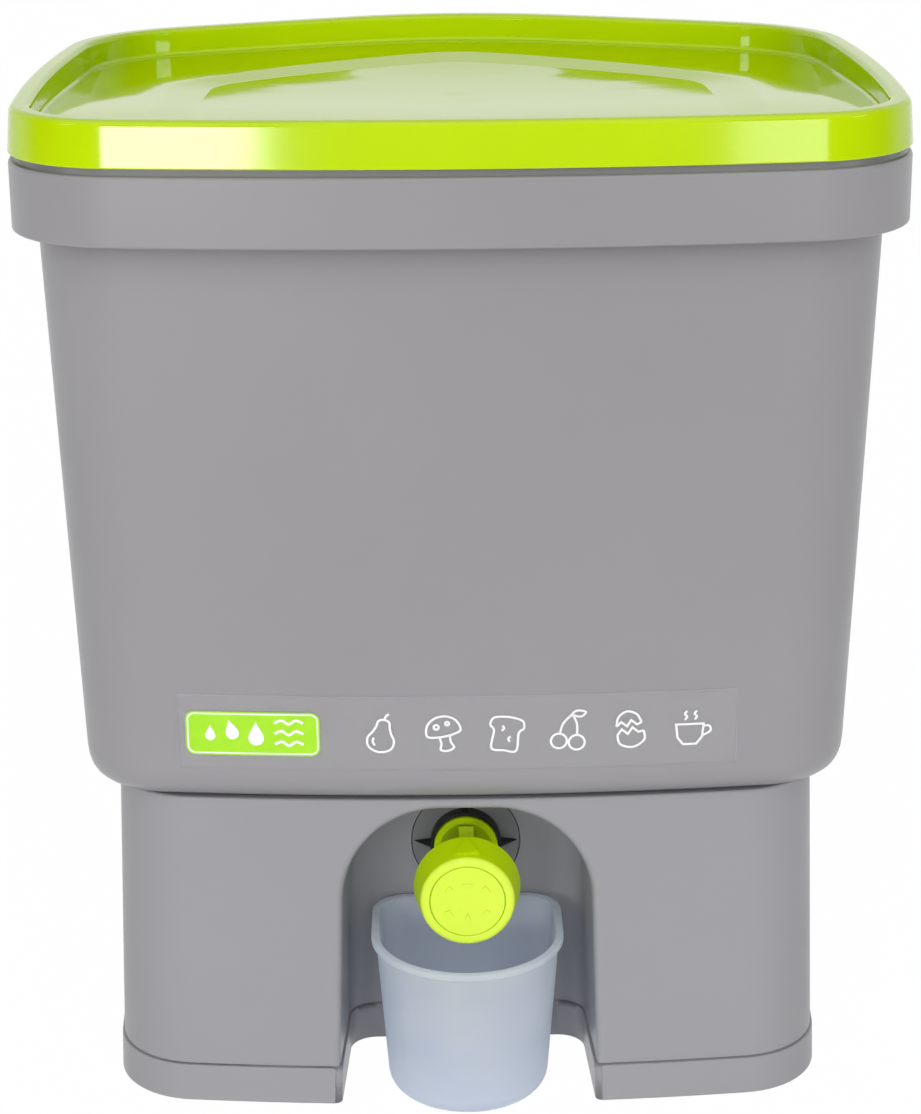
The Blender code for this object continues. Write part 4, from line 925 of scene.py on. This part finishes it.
def buildBarrel():
    size = tapSizes
    tail, shoulder, tube = size["tailRadius"], size["shoulderRadius"], size["tubeRadius"]
    rear = size["shoulderRear"]
    front = rear - size["shoulderLength"]
    tubeFront = front - size["tubeLength"]
    tailRear = rear + size["tailLength"]
    profile = roundedProfile([
        (size["tailBore"], tailRear, 0.0), (tail, tailRear, size["tailEdge"]), (tail, rear, 0.0),
        (shoulder, rear, size["shoulderRearEdge"]), (shoulder, front, size["shoulderEdge"]),
        (tube, front, size["tubeRoot"]), (tube, tubeFront, size["tubeEdge"]),
        (size["tubeBore"], tubeFront, size["tubeEdge"]), (size["tubeBore"], rear, 0.0),
        (size["tailBore"], rear, 0.0)])
    barrel = turned("tapBarrelTube", profile, [tapLime], closed=True)
    tabRear = front - size["tabSetback"]
    half = size["tabWidth"] / 2
    tabFoot = tapZ + size["tubeBore"] + size["tabSink"]
    tab = barBlock("barrelTab", (-half, tabRear - size["tabThickness"], tabFoot),
                   (half, tabRear, tapZ + size["tabTop"]))
    barrel = combine(barrel, [tab], "UNION")
    half = size["outletSize"] / 2
    outlet = barBlock("barrelOutlet", (-half, size["outletY"] - half, tapZ - tube - size["cutOverrun"]),
                      (half, size["outletY"] + half, tapZ))
    dress(combine(barrel, [outlet]), "base", "tap_barrel")


def knobSurface(y):
    size = tapSizes
    share = (size["knobRear"] - y) / (size["knobRear"] - size["knobFace"])
    return size["knobRearRadius"] + (size["knobFrontRadius"] - size["knobRearRadius"]) * share


def knobMark():
    # the raised triangle on the knob's side, its point to the rear
    size = tapSizes
    length = size["knobRear"] - size["knobFace"]
    point = size["knobRear"] - size["markStartShare"] * length
    base = point - size["markLength"]
    half = size["markWidth"] / 2
    steps = size["markSteps"]
    outline = [(-half * step / steps, point + (base - point) * step / steps) for step in range(steps + 1)]
    outline += [(-half + 2 * half * step / steps, base) for step in range(1, steps + 1)]
    outline += [(half * step / steps, point + (base - point) * step / steps)
                for step in range(steps - 1, 0, -1)]
    rings = []
    for lift in (-size["knobWall"] / 2, size["markHeight"]):
        rings.append([(x, y, tapZ + math.sqrt((knobSurface(y) + lift) ** 2 - x ** 2)) for x, y in outline])
    return loft("knobMark", rings, [])


# The disc's marks: a drop and a bar, each between two short arcs, whose ends are in degrees
discMarkSizes = {
    "height": 0.6, "sink": 0.4, "dropScale": 0.62, "dropHalf": 2.2, "dropTall": 3.4, "dropPower": 1.4,
    "dropSteps": 18, "dropZ": -6.6, "barZ": 6.6, "barHalf": (1.9, 0.8), "arcRadii": (9.3, 7.5), "arcSteps": 6,
    "arcs": ((205, 225), (315, 335), (25, 45), (135, 155)),
}


def discMarks():
    size = discMarkSizes
    steps = size["dropSteps"]
    drop = []
    for angle in (2 * math.pi * step / steps for step in range(steps)):
        width = size["dropHalf"] * math.sin(angle) * math.sin(angle / 2) ** size["dropPower"]
        drop.append((size["dropScale"] * width,
                     size["dropZ"] + size["dropScale"] * (size["dropTall"] * math.cos(angle))))
    wide, high = size["barHalf"]
    bar = [(x, size["barZ"] + z) for x, z in ((-wide, -high), (wide, -high), (wide, high), (-wide, high))]
    marks = [drop, bar]
    for first, last in size["arcs"]:
        angles = [math.radians(first + (last - first) * step / size["arcSteps"])
                  for step in range(size["arcSteps"] + 1)]
        outer, inner = ([(radius * math.cos(angle), radius * math.sin(angle)) for angle in angles]
                        for radius in size["arcRadii"])
        marks.append(outer + inner[::-1])
    ends = (tapSizes["knobFace"] + size["sink"], tapSizes["knobFace"] - size["height"])
    return [loft("discMark", [[(x, y, tapZ + z) for x, z in mark] for y in ends], []) for mark in marks]


def buildKnob():
    size = tapSizes
    face, rear = size["knobFace"], size["knobRear"]
    webFront = face + size["recessDepth"]
    webRear = webFront + size["knobWeb"]
    hubRear = webRear + size["hubLength"]
    recess, hub = size["recessRadius"], size["hubRadius"]
    profile = roundedProfile([
        (recess - size["recessBand"], webFront, 0.0), (recess, webFront, 0.0),
        (recess, face, size["recessEdge"]), (size["knobFrontRadius"], face, size["knobFaceRound"]),
        (size["knobRearRadius"], rear, size["knobRearEdge"]),
        (size["knobRearRadius"] - size["knobWall"], rear, size["knobInnerEdge"]),
        (size["knobFrontRadius"] - size["knobWall"], webRear, size["knobWebRound"]),
        (hub, webRear, 0.0), (hub, hubRear, size["hubEdge"]), (hub - size["hubBand"], hubRear, 0.0)],
        closed=False, steps=6)
    knob = turned("tapKnobCap", profile, [tapLime])
    half = size["socketHalf"]
    past = size["cutOverrun"]
    socket = barBlock("knobSocket", (-half, webRear, tapZ - half), (half, hubRear + past, tapZ + half))
    headRear = webFront + size["screwHeadDepth"]
    screwHole = turned("knobScrewHole", [
        (size["screwHeadRadius"], webFront - past), (size["screwHeadRadius"], headRear),
        (size["screwRadius"], headRear), (size["screwRadius"], webRear + past)], [], steps=size["screwSteps"])
    knob = combine(knob, [knobMark()], "UNION")
    knob = combine(knob, [socket, screwHole])
    # painted light: the knob's face, turned to the front, takes the disc's paler lime as its lit look
    knob.data.materials.append(discPaintedLitLime)
    for polygon in knob.data.polygons:
        near = polygon.center.y < (face + size["paintedLitDepth"]) * millimetre
        if near and polygon.normal.y < -size["paintedLitSlopeShare"]:
            polygon.material_index = 1
    dress(knob, "tap", "tap_knob")
    radius = recess - size["discGap"]
    discRear = webFront - size["discRearGap"]
    profile = roundedProfile([(size["discMiddle"], face, 0.0), (radius, face, size["recessEdge"]),
                              (radius, discRear, 0.0), (size["discMiddle"], discRear, 0.0)], closed=False)
    disc = joined("knobDiscPlate", [turned("knobDiscBlank", profile, [discPaintedLitLime]), *discMarks()])
    dress(disc, "tap", "knob_disc")


buildTapPlate()
buildCollar()
buildBarrel()
buildKnob()
print("tap built")


# Collecting cup: round front, flat back, rolled rim
cupSizes = {
    "half": 36.5, "front": -144.0, "rear": -73.2, "rearCorner": 14.0, "smallestCorner": 1.0,
    "rimWidth": 1.8, "rimHeight": 2.6, "rimRadius": 0.7, "rimRoot": 0.5, "wall": 1.2, "floor": 1.6,
    "draft": 4.6, "bottomRound": 7.6, "floorInset": 12.0, "frontSteps": 40, "cornerSteps": 12,
}


def cupRing(distance, z):
    size = cupSizes
    wide = size["half"] - distance
    corner = max(size["rearCorner"] - distance, size["smallestCorner"])
    centreY = size["front"] + size["half"]
    rear = size["rear"] - distance
    left = [(-wide * math.sin(angle), centreY - wide * math.cos(angle), z)
            for angle in quarterTurn(size["frontSteps"])]
    left += [(-wide + corner * (1 - math.cos(angle)), rear - corner * (1 - math.sin(angle)), z)
             for angle in quarterTurn(size["cornerSteps"])]
    return left + [(-x, y, height) for x, y, height in left[:0:-1]]


def buildCup():
    size = cupSizes
    low, high = heights("cup")
    wallTop = high - size["rimHeight"]
    floor = low + size["floor"]
    top, wall, edge = size["rimWidth"], size["wall"], size["rimRadius"]
    foot = top + size["draft"]
    flat = foot + size["bottomRound"] + size["floorInset"]
    corners = [
        (cupRing(flat, low), 0.0), (cupRing(foot, low), size["bottomRound"]),
        (cupRing(top, wallTop), size["rimRoot"]), (cupRing(0.0, wallTop), edge),
        (cupRing(0.0, high), edge), (cupRing(top + wall, high), edge),
        (cupRing(foot + wall, floor), size["bottomRound"] - wall), (cupRing(flat, floor), 0.0),
    ]
    dress(loft("cupShell", roundedRings(corners), [cupMilky]), "cup", "cup")


buildCup()
print("cup built")


# Label: clear film on the bucket's front with a plain tag and a row of food scraps
labelSizes = {
    "left": -105.0, "right": 98.8, "low": 138.0, "high": 167.5, "thickness": 0.25, "lift": 0.1,
    "border": 0.5, "borderDrop": 0.12, "columns": 48, "inkThickness": 0.04, "inkSink": 0.01,
    "lineWidth": 0.85, "longestStep": 1.6, "patchRings": 10, "sharpestTurnShare": 0.6,
}


def labelPoint(x, z, lift):
    return (x, frontY(inset(bodyOutline(z), -lift), x), z)


def buildFilm():
    # two sheets on one grid, front and back, and a border all round with its own lighter finish, a painted
    # glint along the edge
    size = labelSizes
    left, right, low, high, border = (size[key] for key in ("left", "right", "low", "high", "border"))
    xs = [left, left + border]
    xs += [left + (right - left) * step / size["columns"] for step in range(1, size["columns"])]
    xs += [right - border, right]
    zs = [low, low + border, (low + high) / 2, high - border, high]
    lastRow, lastColumn = len(zs) - 1, len(xs) - 1
    points, faces, edging = [], [], []
    for lift, drop in ((size["lift"] + size["thickness"], size["borderDrop"]), (size["lift"], 0.0)):
        for row, z in enumerate(zs):
            for column, x in enumerate(xs):
                onEdge = row in (0, lastRow) or column in (0, lastColumn)
                points.append(labelPoint(x, z, lift - (drop if onEdge else 0.0)))
    across = len(xs)
    sheet = across * len(zs)
    for row in range(lastRow):
        for column in range(lastColumn):
            start = row * across + column
            quad = (start, start + 1, start + across + 1, start + across)
            faces += [quad, tuple(sheet + index for index in quad[::-1])]
            edging += [row in (0, lastRow - 1) or column in (0, lastColumn - 1), False]
    loop = list(range(across))
    loop += [row * across + lastColumn for row in range(1, len(zs))]
    loop += [lastRow * across + column for column in range(lastColumn - 1, -1, -1)]
    loop += [row * across for row in range(lastRow - 1, 0, -1)]
    for start, after in zip(loop, loop[1:] + loop[:1]):
        faces.append((start, after, sheet + after, sheet + start))
        edging.append(True)
    film = makeObject("labelFilm", points, faces, [filmClear, filmEdgeGlint])
    for polygon, onEdge in zip(film.data.polygons, edging):
        polygon.material_index = 1 if onEdge else 0
    dress(film, "base", "label_film")


buildFilm()


def subdivided(path, closed):
    # extra points on long straight pieces, so that they bend with the bucket's bow
    made = []
    ends = path[1:] + path[:1] if closed else path[1:]
    for first, second in zip(path, ends):
        steps = max(1, math.ceil(math.dist(first, second) / labelSizes["longestStep"]))
        made += [(first[0] + (second[0] - first[0]) * step / steps,
                  first[1] + (second[1] - first[1]) * step / steps) for step in range(steps)]
    return made if closed else made + [path[-1]]


def strokeParts(path, width, lift, closed):
    # a flat ribbon along a path of (x, z), as points and faces on the film's front
    places = [Vector(point) for point in subdivided(path, closed)]
    count = len(places)
    upper = lift + labelSizes["inkThickness"]
    rows = []
    for index, place in enumerate(places):
        before = places[index - 1] if index or closed else place
        after = places[(index + 1) % count] if index < count - 1 or closed else place
        back = (place - before).normalized() if (place - before).length else (after - place).normalized()
        ahead = (after - place).normalized() if (after - place).length else back
        along = (back + ahead).normalized()
        turnShare = max(along.dot(ahead), labelSizes["sharpestTurnShare"])
        across = Vector((-along.y, along.x)) * width / 2 / turnShare
        for side, height in ((across, lift), (across, upper), (-across, upper), (-across, lift)):
            rows.append(labelPoint(place.x + side.x, place.y + side.y, height))
    faces = []
    for index in range(count if closed else count - 1):
        start, after = 4 * index, 4 * ((index + 1) % count)
        for edge in range(4):
            turn = (edge + 1) % 4
            faces.append((start + edge, after + edge, after + turn, start + turn))
    if not closed:
        faces.append((0, 1, 2, 3))
        faces.append(tuple(4 * (count - 1) + edge for edge in (3, 2, 1, 0)))
    return rows, faces


def patchParts(outline, middle, lift):
    # a filled shape round its middle, in rings so that it follows the bucket's bow
    outline = subdivided(outline, True)
    steps = labelSizes["patchRings"]
    count = len(outline)
    upper = lift + labelSizes["inkThickness"]
    rows = [labelPoint(x, z, lift) for x, z in outline]
    for share in ((steps - step) / steps for step in range(steps)):
        rows += [labelPoint(middle[0] + (x - middle[0]) * share, middle[1] + (z - middle[1]) * share, upper)
                 for x, z in outline]
    faces = []
    for start in range(0, steps * count, count):
        for index in range(count):
            after = (index + 1) % count
            faces.append((start + index, start + after, start + count + after, start + count + index))
    faces.append(tuple(steps * count + index for index in range(count)))
    return rows, faces


def placed(path, middle, scale=1.0, turn=0.0):
    cosine, sine = math.cos(math.radians(turn)), math.sin(math.radians(turn))
    return [(middle[0] + scale * (x * cosine - z * sine), middle[1] + scale * (x * sine + z * cosine))
            for x, z in path]


def smoothPath(points, closed=False, steps=6):
    # a Catmull-Rom curve through the points
    count = len(points)
    made = []
    for index in range(count if closed else count - 1):
        if closed:
            four = [points[(index + offset) % count] for offset in (-1, 0, 1, 2)]
        else:
            four = [points[min(max(index + offset, 0), count - 1)] for offset in (-1, 0, 1, 2)]
        for step in range(steps):
            share = step / steps
            made.append(tuple(
                0.5 * (2 * b + (c - a) * share + (2 * a - 5 * b + 4 * c - d) * share ** 2
                       + (3 * b - a - 3 * c + d) * share ** 3)
                for a, b, c, d in zip(*four)))
    if not closed:
        made.append(tuple(points[-1]))
    return made


def circlePath(x, z, radius, steps):
    angles = [2 * math.pi * step / steps for step in range(steps)]
    return [(x + radius * math.cos(angle), z + radius * math.sin(angle)) for angle in angles]


def roundedBox(halfWide, halfHigh, radius, steps=6):
    points = []
    for corner, (signX, signZ) in enumerate(((1, 1), (-1, 1), (-1, -1), (1, -1))):
        for step in range(steps + 1):
            angle = math.radians(90 * corner + 90 * step / steps)
            points.append((signX * (halfWide - radius) + radius * math.cos(angle),
                           signZ * (halfHigh - radius) + radius * math.sin(angle)))
    return points


# each scrap's strokes, in millimetres round its own middle: smooth loops and curves, straight
# outlines and lines, and circles as (x, z, radius, steps)
scraps = {
    "pear": [
        ("loop", [(0.0, 4.9), (1.7, 4.2), (2.1, 2.4), (2.9, 0.4), (4.2, -2.0), (3.4, -4.9), (0.0, -6.2),
                  (-3.4, -4.9), (-4.2, -2.0), (-2.9, 0.4), (-2.1, 2.4), (-1.7, 4.2)]),
        ("curve", [(0.0, 4.9), (0.3, 6.1), (1.1, 7.1)]),
        ("curve", [(-2.3, -1.6), (-2.4, -3.0), (-1.5, -4.2)])],
    "mushroom": [
        ("loop", [(-5.4, 0.3), (-4.6, 3.6), (-1.8, 5.6), (1.8, 5.6), (4.6, 3.6), (5.4, 0.3), (3.4, -0.7),
                  (0.0, -1.0), (-3.4, -0.7)]),
        ("curve", [(-1.7, -0.9), (-1.5, -3.2), (-2.1, -5.2), (0.0, -6.0), (2.1, -5.2), (1.5, -3.2),
                   (1.7, -0.9)]),
        ("circle", (-1.9, 2.6, 0.8, 10)), ("circle", (1.7, 3.1, 0.6, 10))],
    "bread": [
        ("loop", [(-3.9, 0.6), (-5.3, 2.4), (-4.6, 4.8), (-1.6, 5.6), (1.6, 5.6), (4.6, 4.8), (5.3, 2.4),
                  (3.9, 0.6), (3.9, -5.4), (0.0, -5.7), (-3.9, -5.4)]),
        ("curve", [(-1.5, 2.6), (-0.9, 1.7), (-1.5, 0.8)]),
        ("curve", [(1.5, -0.8), (0.9, -1.7), (1.5, -2.6)])],
    "cherries": [
        ("circle", (-2.9, -3.4, 2.5, 20)), ("circle", (2.7, -4.0, 2.5, 20)),
        ("curve", [(-2.6, -0.9), (-1.5, 2.6), (1.3, 5.6)]),
        ("curve", [(2.8, -1.5), (2.7, 2.4), (1.3, 5.6)]),
        ("loop", [(1.3, 5.6), (3.0, 6.8), (5.5, 6.2), (3.9, 4.7)])],
    "egg": [
        ("curve", [(-4.2, -1.0), (-3.8, -4.2), (0.0, -5.9), (3.8, -4.2), (4.2, -1.0)]),
        ("line", [(-4.2, -1.0), (-2.5, 0.7), (-0.9, -1.2), (0.9, 0.7), (2.5, -1.2), (4.2, -1.0)]),
        ("curve", [(-4.0, 1.9), (-2.9, 4.9), (0.0, 6.4), (2.9, 4.9), (4.0, 1.9)]),
        ("line", [(-4.0, 1.9), (-2.3, 3.2), (-0.7, 1.4), (0.9, 3.2), (2.5, 1.4), (4.0, 1.9)])],
    "cup": [
        ("outline", [(-4.9, 1.9), (-4.4, -2.6), (-2.6, -4.9), (1.5, -4.9), (3.3, -2.6), (3.8, 1.9)]),
        ("curve", [(3.7, 1.1), (5.6, 1.1), (5.9, -0.7), (3.3, -2.2)]),
        ("curve", [(-2.2, 3.4), (-1.5, 4.4), (-2.2, 5.4), (-1.5, 6.4)]),
        ("curve", [(0.9, 3.4), (1.6, 4.4), (0.9, 5.4), (1.6, 6.4)])],
}
# the tag's drops are (x, z, scale, turn) of one outline, given by its right half, and its waves
# are one path raised by each rise
printPlaces = {
    "tag": (-77.5, 152.4), "tagHalf": (24.5, 8.6), "tagRadius": 3.4, "tagBorderInset": 0.9, "tagLine": 0.55,
    "dropHalf": [(0.0, 4.2), (0.5, 3.2), (1.7, 1.0), (2.2, -0.6), (1.6, -2.2), (0.0, -2.9)],
    "drops": ((-15.5, -0.4, 0.85, 0.0), (-7.6, 0.9, 1.1, 14.0), (1.2, -0.8, 1.3, 0.0)),
    "wave": [(8.0, 0.0), (10.6, 1.1), (13.2, -0.4), (15.8, 1.1), (18.4, 0.0)],
    "waveRises": (-4.0, 0.2, 4.4), "waveLine": 1.0,
    "firstX": -30.6, "pitchX": 22.5, "middleZ": 152.8, "rises": (0.0, 0.1, -0.2, 0.4, 0.0, -0.8),
    "turns": (-10.0, 12.0, -8.0, 0.0, 10.0, 0.0), "scale": 1.16,
}


def scrapStroke(kind, points):
    # the path, and whether it closes
    if kind == "circle":
        return circlePath(*points), True
    closed = kind in ("loop", "outline")
    return (smoothPath(points, closed) if kind in ("loop", "curve") else points), closed


def inkPiece(name, parts, ink):
    points, faces = [], []
    for rows, loops in parts:
        start = len(points)
        points += rows
        faces += [tuple(start + index for index in loop) for loop in loops]
    piece = makeObject(name, points, faces, [ink])
    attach(piece, "base")


def buildPrint():
    place = printPlaces
    lift = labelSizes["lift"] + labelSizes["thickness"] - labelSizes["inkSink"]
    middle = place["tag"]
    wide, high = place["tagHalf"]
    radius, border = place["tagRadius"], place["tagBorderInset"]
    inkPiece("labelTag", [patchParts(placed(roundedBox(wide, high, radius), middle), middle, lift)], inkLime)
    over = lift + labelSizes["inkThickness"]
    frameLine = placed(roundedBox(wide - border, high - border, radius - border), middle)
    parts = [strokeParts(frameLine, place["tagLine"], over, True)]
    half = place["dropHalf"]
    drop = smoothPath(half + [(-x, z) for x, z in half[-2:0:-1]], closed=True, steps=3)
    for x, z, scale, turn in place["drops"]:
        spot = (middle[0] + x, middle[1] + z)
        parts.append(patchParts(placed(drop, spot, scale, turn), spot, over))
    for rise in place["waveRises"]:
        wave = smoothPath([(x, rise + z) for x, z in place["wave"]])
        parts.append(strokeParts(placed(wave, middle), place["waveLine"], over, False))
    inkPiece("labelTagMarks", parts, inkWhite)
    parts = []
    for index, strokes in enumerate(scraps.values()):
        spot = (place["firstX"] + index * place["pitchX"], place["middleZ"] + place["rises"][index])
        for kind, points in strokes:
            path, closed = scrapStroke(kind, points)
            path = placed(path, spot, place["scale"], place["turns"][index])
            parts.append(strokeParts(path, labelSizes["lineWidth"], lift, closed))
    inkPiece("labelScraps", parts, inkWhite)


buildPrint()
print("label built")

# CAD nodes that stay inside the tap, the sump and the lid keep their solids and get their finish
keptNodes = {
    "lid_seal": sealPale, "plate_gasket": rubberBlack, "tap_washer": rubberBlack, "tap_nut": blackMoulded,
    "tap_spool": acetalWhite, "spool_seal_rear": rubberBlack, "spool_seal_front": rubberBlack,
    "knob_screw": steelTurned,
}
for nodeName, material in keptNodes.items():
    nodes[nodeName].data.materials.clear()
    nodes[nodeName].data.materials.append(material)
print("kept nodes finished")

# Camera: at the photograph's angle, as the object's own perspective gives it
cameraSizes = {
    "place": (-8.82, -1035.87, 521.67), "pitchDown": 18.388, "yaw": 0.4588, "roll": 0.4927,
    "focalPixels": 2700.0, "frameHeight": 1114, "sensorMm": 36.0, "clipMetres": (0.05, 50.0),
}


def buildCamera():
    size = cameraSizes
    pitch, yaw, roll = (math.radians(size[key]) for key in ("pitchDown", "yaw", "roll"))
    ahead = Vector((math.sin(yaw) * math.cos(pitch), math.cos(yaw) * math.cos(pitch), -math.sin(pitch)))
    right = Vector((math.cos(yaw), -math.sin(yaw), 0.0))
    up = right.cross(ahead)
    turnedRight = right * math.cos(roll) - up * math.sin(roll)
    turnedUp = up * math.cos(roll) + right * math.sin(roll)
    camera = bpy.data.cameras.new("camera")
    camera.sensor_width = size["sensorMm"]  # on the frame's long side
    camera.lens = size["focalPixels"] * size["sensorMm"] / size["frameHeight"]
    camera.clip_start, camera.clip_end = size["clipMetres"]
    item = bpy.data.objects.new("camera", camera)
    bpy.context.scene.collection.objects.link(item)
    item.rotation_mode = "QUATERNION"
    axes = Matrix((turnedRight, turnedUp, -ahead)).transposed()
    item.rotation_quaternion = axes.to_quaternion()
    item.location = Vector(size["place"]) * millimetre
    bpy.context.scene.camera = item


buildCamera()

# World: a soft dome in front and one behind, between dark sides, light the object; mirrors
# show a pale backdrop and ceiling and a dark camera side, and the camera sees white
worldSizes = {"strength": 2.2, "frontRise": 30.0}
# each ramp: the direction it follows, its start and end there, and its light at both
worldRamps = {
    "front": ("ahead", -0.985, -0.66, 1.0, 0.02),
    "behind": ("Y", 0.5, 0.9, 0.0, 0.92),
    "top": ("Z", 0.5, 0.85, 0.0, 0.04),
    "mirrorBehind": ("Y", 0.0, 0.55, 0.02, 1.0),
    "mirrorTop": ("Z", 0.35, 0.85, 0.02, 1.0),
}
mirrorRays = ("Is Glossy Ray", "Is Transmission Ray")
white = hexToLinear("#FFFFFF")


def rayIs(tree, names):
    # 1 where the ray is one of these kinds
    path = addNode(tree, "ShaderNodeLightPath")
    total = path.outputs[names[0]]
    for name in names[1:]:
        total = addNode(tree, "ShaderNodeMath", {"operation": "MAXIMUM"},
                        {0: total, 1: path.outputs[name]}).outputs["Value"]
    return total


def buildWorld():
    world = bpy.data.worlds.new("studio")
    bpy.context.scene.world = world
    world.use_nodes = True
    tree = world.node_tree
    tree.nodes.clear()
    generated = addNode(tree, "ShaderNodeTexCoord").outputs["Generated"]
    axes = addNode(tree, "ShaderNodeSeparateXYZ", links={"Vector": generated}).outputs
    rise = math.radians(worldSizes["frontRise"])
    ahead = addNode(tree, "ShaderNodeVectorMath",
                    {"operation": "DOT_PRODUCT", 1: (0.0, math.cos(rise), -math.sin(rise))},
                    {0: generated}).outputs["Value"]
    light = {}
    for name, (along, start, end, first, last) in worldRamps.items():
        light[name] = addNode(tree, "ShaderNodeMapRange",
                              {"interpolation_type": "SMOOTHSTEP", "From Min": start, "From Max": end,
                               "To Min": first, "To Max": last},
                              {"Value": ahead if along == "ahead" else axes[along]}).outputs["Result"]
    for name, other in (("front", "behind"), ("front", "top"), ("mirrorBehind", "mirrorTop")):
        light[name] = addNode(tree, "ShaderNodeMath", {"operation": "MAXIMUM"},
                              {0: light[name], 1: light[other]}).outputs["Value"]
    strength = addNode(tree, "ShaderNodeMath", {"operation": "MULTIPLY", 1: worldSizes["strength"]},
                       {0: light["front"]}).outputs["Value"]
    mixed = addNode(tree, "ShaderNodeBackground", {"Color": white}, {"Strength": strength})
    mirrored = addNode(tree, "ShaderNodeBackground", {"Color": white}, {"Strength": light["mirrorBehind"]})
    seen = addNode(tree, "ShaderNodeBackground", {"Color": white, "Strength": 1.0})
    for rays, part in ((mirrorRays, mirrored), (("Is Camera Ray",), seen)):
        mixed = addNode(tree, "ShaderNodeMixShader",
                        links={0: rayIs(tree, rays), 1: mixed.outputs[0], 2: part.outputs[0]})
    addNode(tree, "ShaderNodeOutputWorld", links={"Surface": mixed.outputs[0]})


# Floor: matt white paper that takes shadows, bright to the camera, and fading in mirrors
# towards the camera's side
floorSizes = {"half": 4000.0, "hex": "#FCFCFC", "glowShare": 0.985, "darkY": -1200.0, "lightY": -250.0,
              "darkShare": 0.02}


def buildFloor():
    size = floorSizes
    half = size["half"]
    corners = [(-half, -half, 0.0), (half, -half, 0.0), (half, half, 0.0), (-half, half, 0.0)]
    floor = makeObject("floor", corners, [(0, 1, 2, 3)], [])
    floor.modifiers.clear()
    material = bpy.data.materials.new("paperWhite")
    material.use_nodes = True
    tree = material.node_tree
    tree.nodes.clear()
    place = addNode(tree, "ShaderNodeSeparateXYZ",
                    links={"Vector": addNode(tree, "ShaderNodeTexCoord").outputs["Object"]})
    fade = addNode(tree, "ShaderNodeMapRange",
                   {"interpolation_type": "SMOOTHSTEP", "From Min": size["darkY"] * millimetre,
                    "From Max": size["lightY"] * millimetre, "To Min": size["darkShare"], "To Max": 1.0},
                   {"Value": place.outputs["Y"]}).outputs["Result"]
    mixed = addNode(tree, "ShaderNodeBsdfDiffuse", {"Color": hexToLinear(size["hex"])})
    mirrored = addNode(tree, "ShaderNodeEmission", {"Color": white}, {"Strength": fade})
    glow = addNode(tree, "ShaderNodeEmission", {"Color": white, "Strength": 1.0})
    for rays, part in ((mirrorRays, mirrored), (("Is Camera Ray",), glow)):
        share = addNode(tree, "ShaderNodeMath", {"operation": "MULTIPLY", 1: size["glowShare"]},
                        {0: rayIs(tree, rays)}).outputs["Value"]
        mixed = addNode(tree, "ShaderNodeMixShader",
                        links={0: share, 1: mixed.outputs[0], 2: part.outputs[0]})
    addNode(tree, "ShaderNodeOutputMaterial", links={"Surface": mixed.outputs[0]})
    floor.data.materials.append(material)


# Soft boxes: two in front, about as high as the lid, and a strip at each side, as
# (place, target, size, watts)
softBoxes = {
    "left": ((-632.0, -1750.0, 355.0), (-300.0, 0.0, 355.0), (470.0, 170.0), 4.6),
    "right": ((823.0, -1750.0, 355.0), (400.0, 0.0, 355.0), (470.0, 170.0), 1.3),
    "leftStrip": ((-931.0, -626.0, 530.0), (0.0, 0.0, 370.0), (175.0, 120.0), 0.46),
    "rightStrip": ((975.0, -560.0, 530.0), (0.0, 0.0, 370.0), (285.0, 120.0), 0.6),
}


def buildLights():
    for name, (place, target, sides, watts) in softBoxes.items():
        light = bpy.data.lights.new("softBox" + name[0].upper() + name[1:], "AREA")
        light.shape = "RECTANGLE"
        light.size, light.size_y = (side * millimetre for side in sides)
        light.energy = watts
        item = bpy.data.objects.new(light.name, light)
        bpy.context.scene.collection.objects.link(item)
        item.location = Vector(place) * millimetre
        aim = (Vector(target) - Vector(place)).normalized()
        item.rotation_mode = "QUATERNION"
        item.rotation_quaternion = aim.to_track_quat("-Z", "Y")


buildWorld()
buildFloor()
buildLights()
bpy.context.scene.view_settings.view_transform = "Standard"
print("stage built")
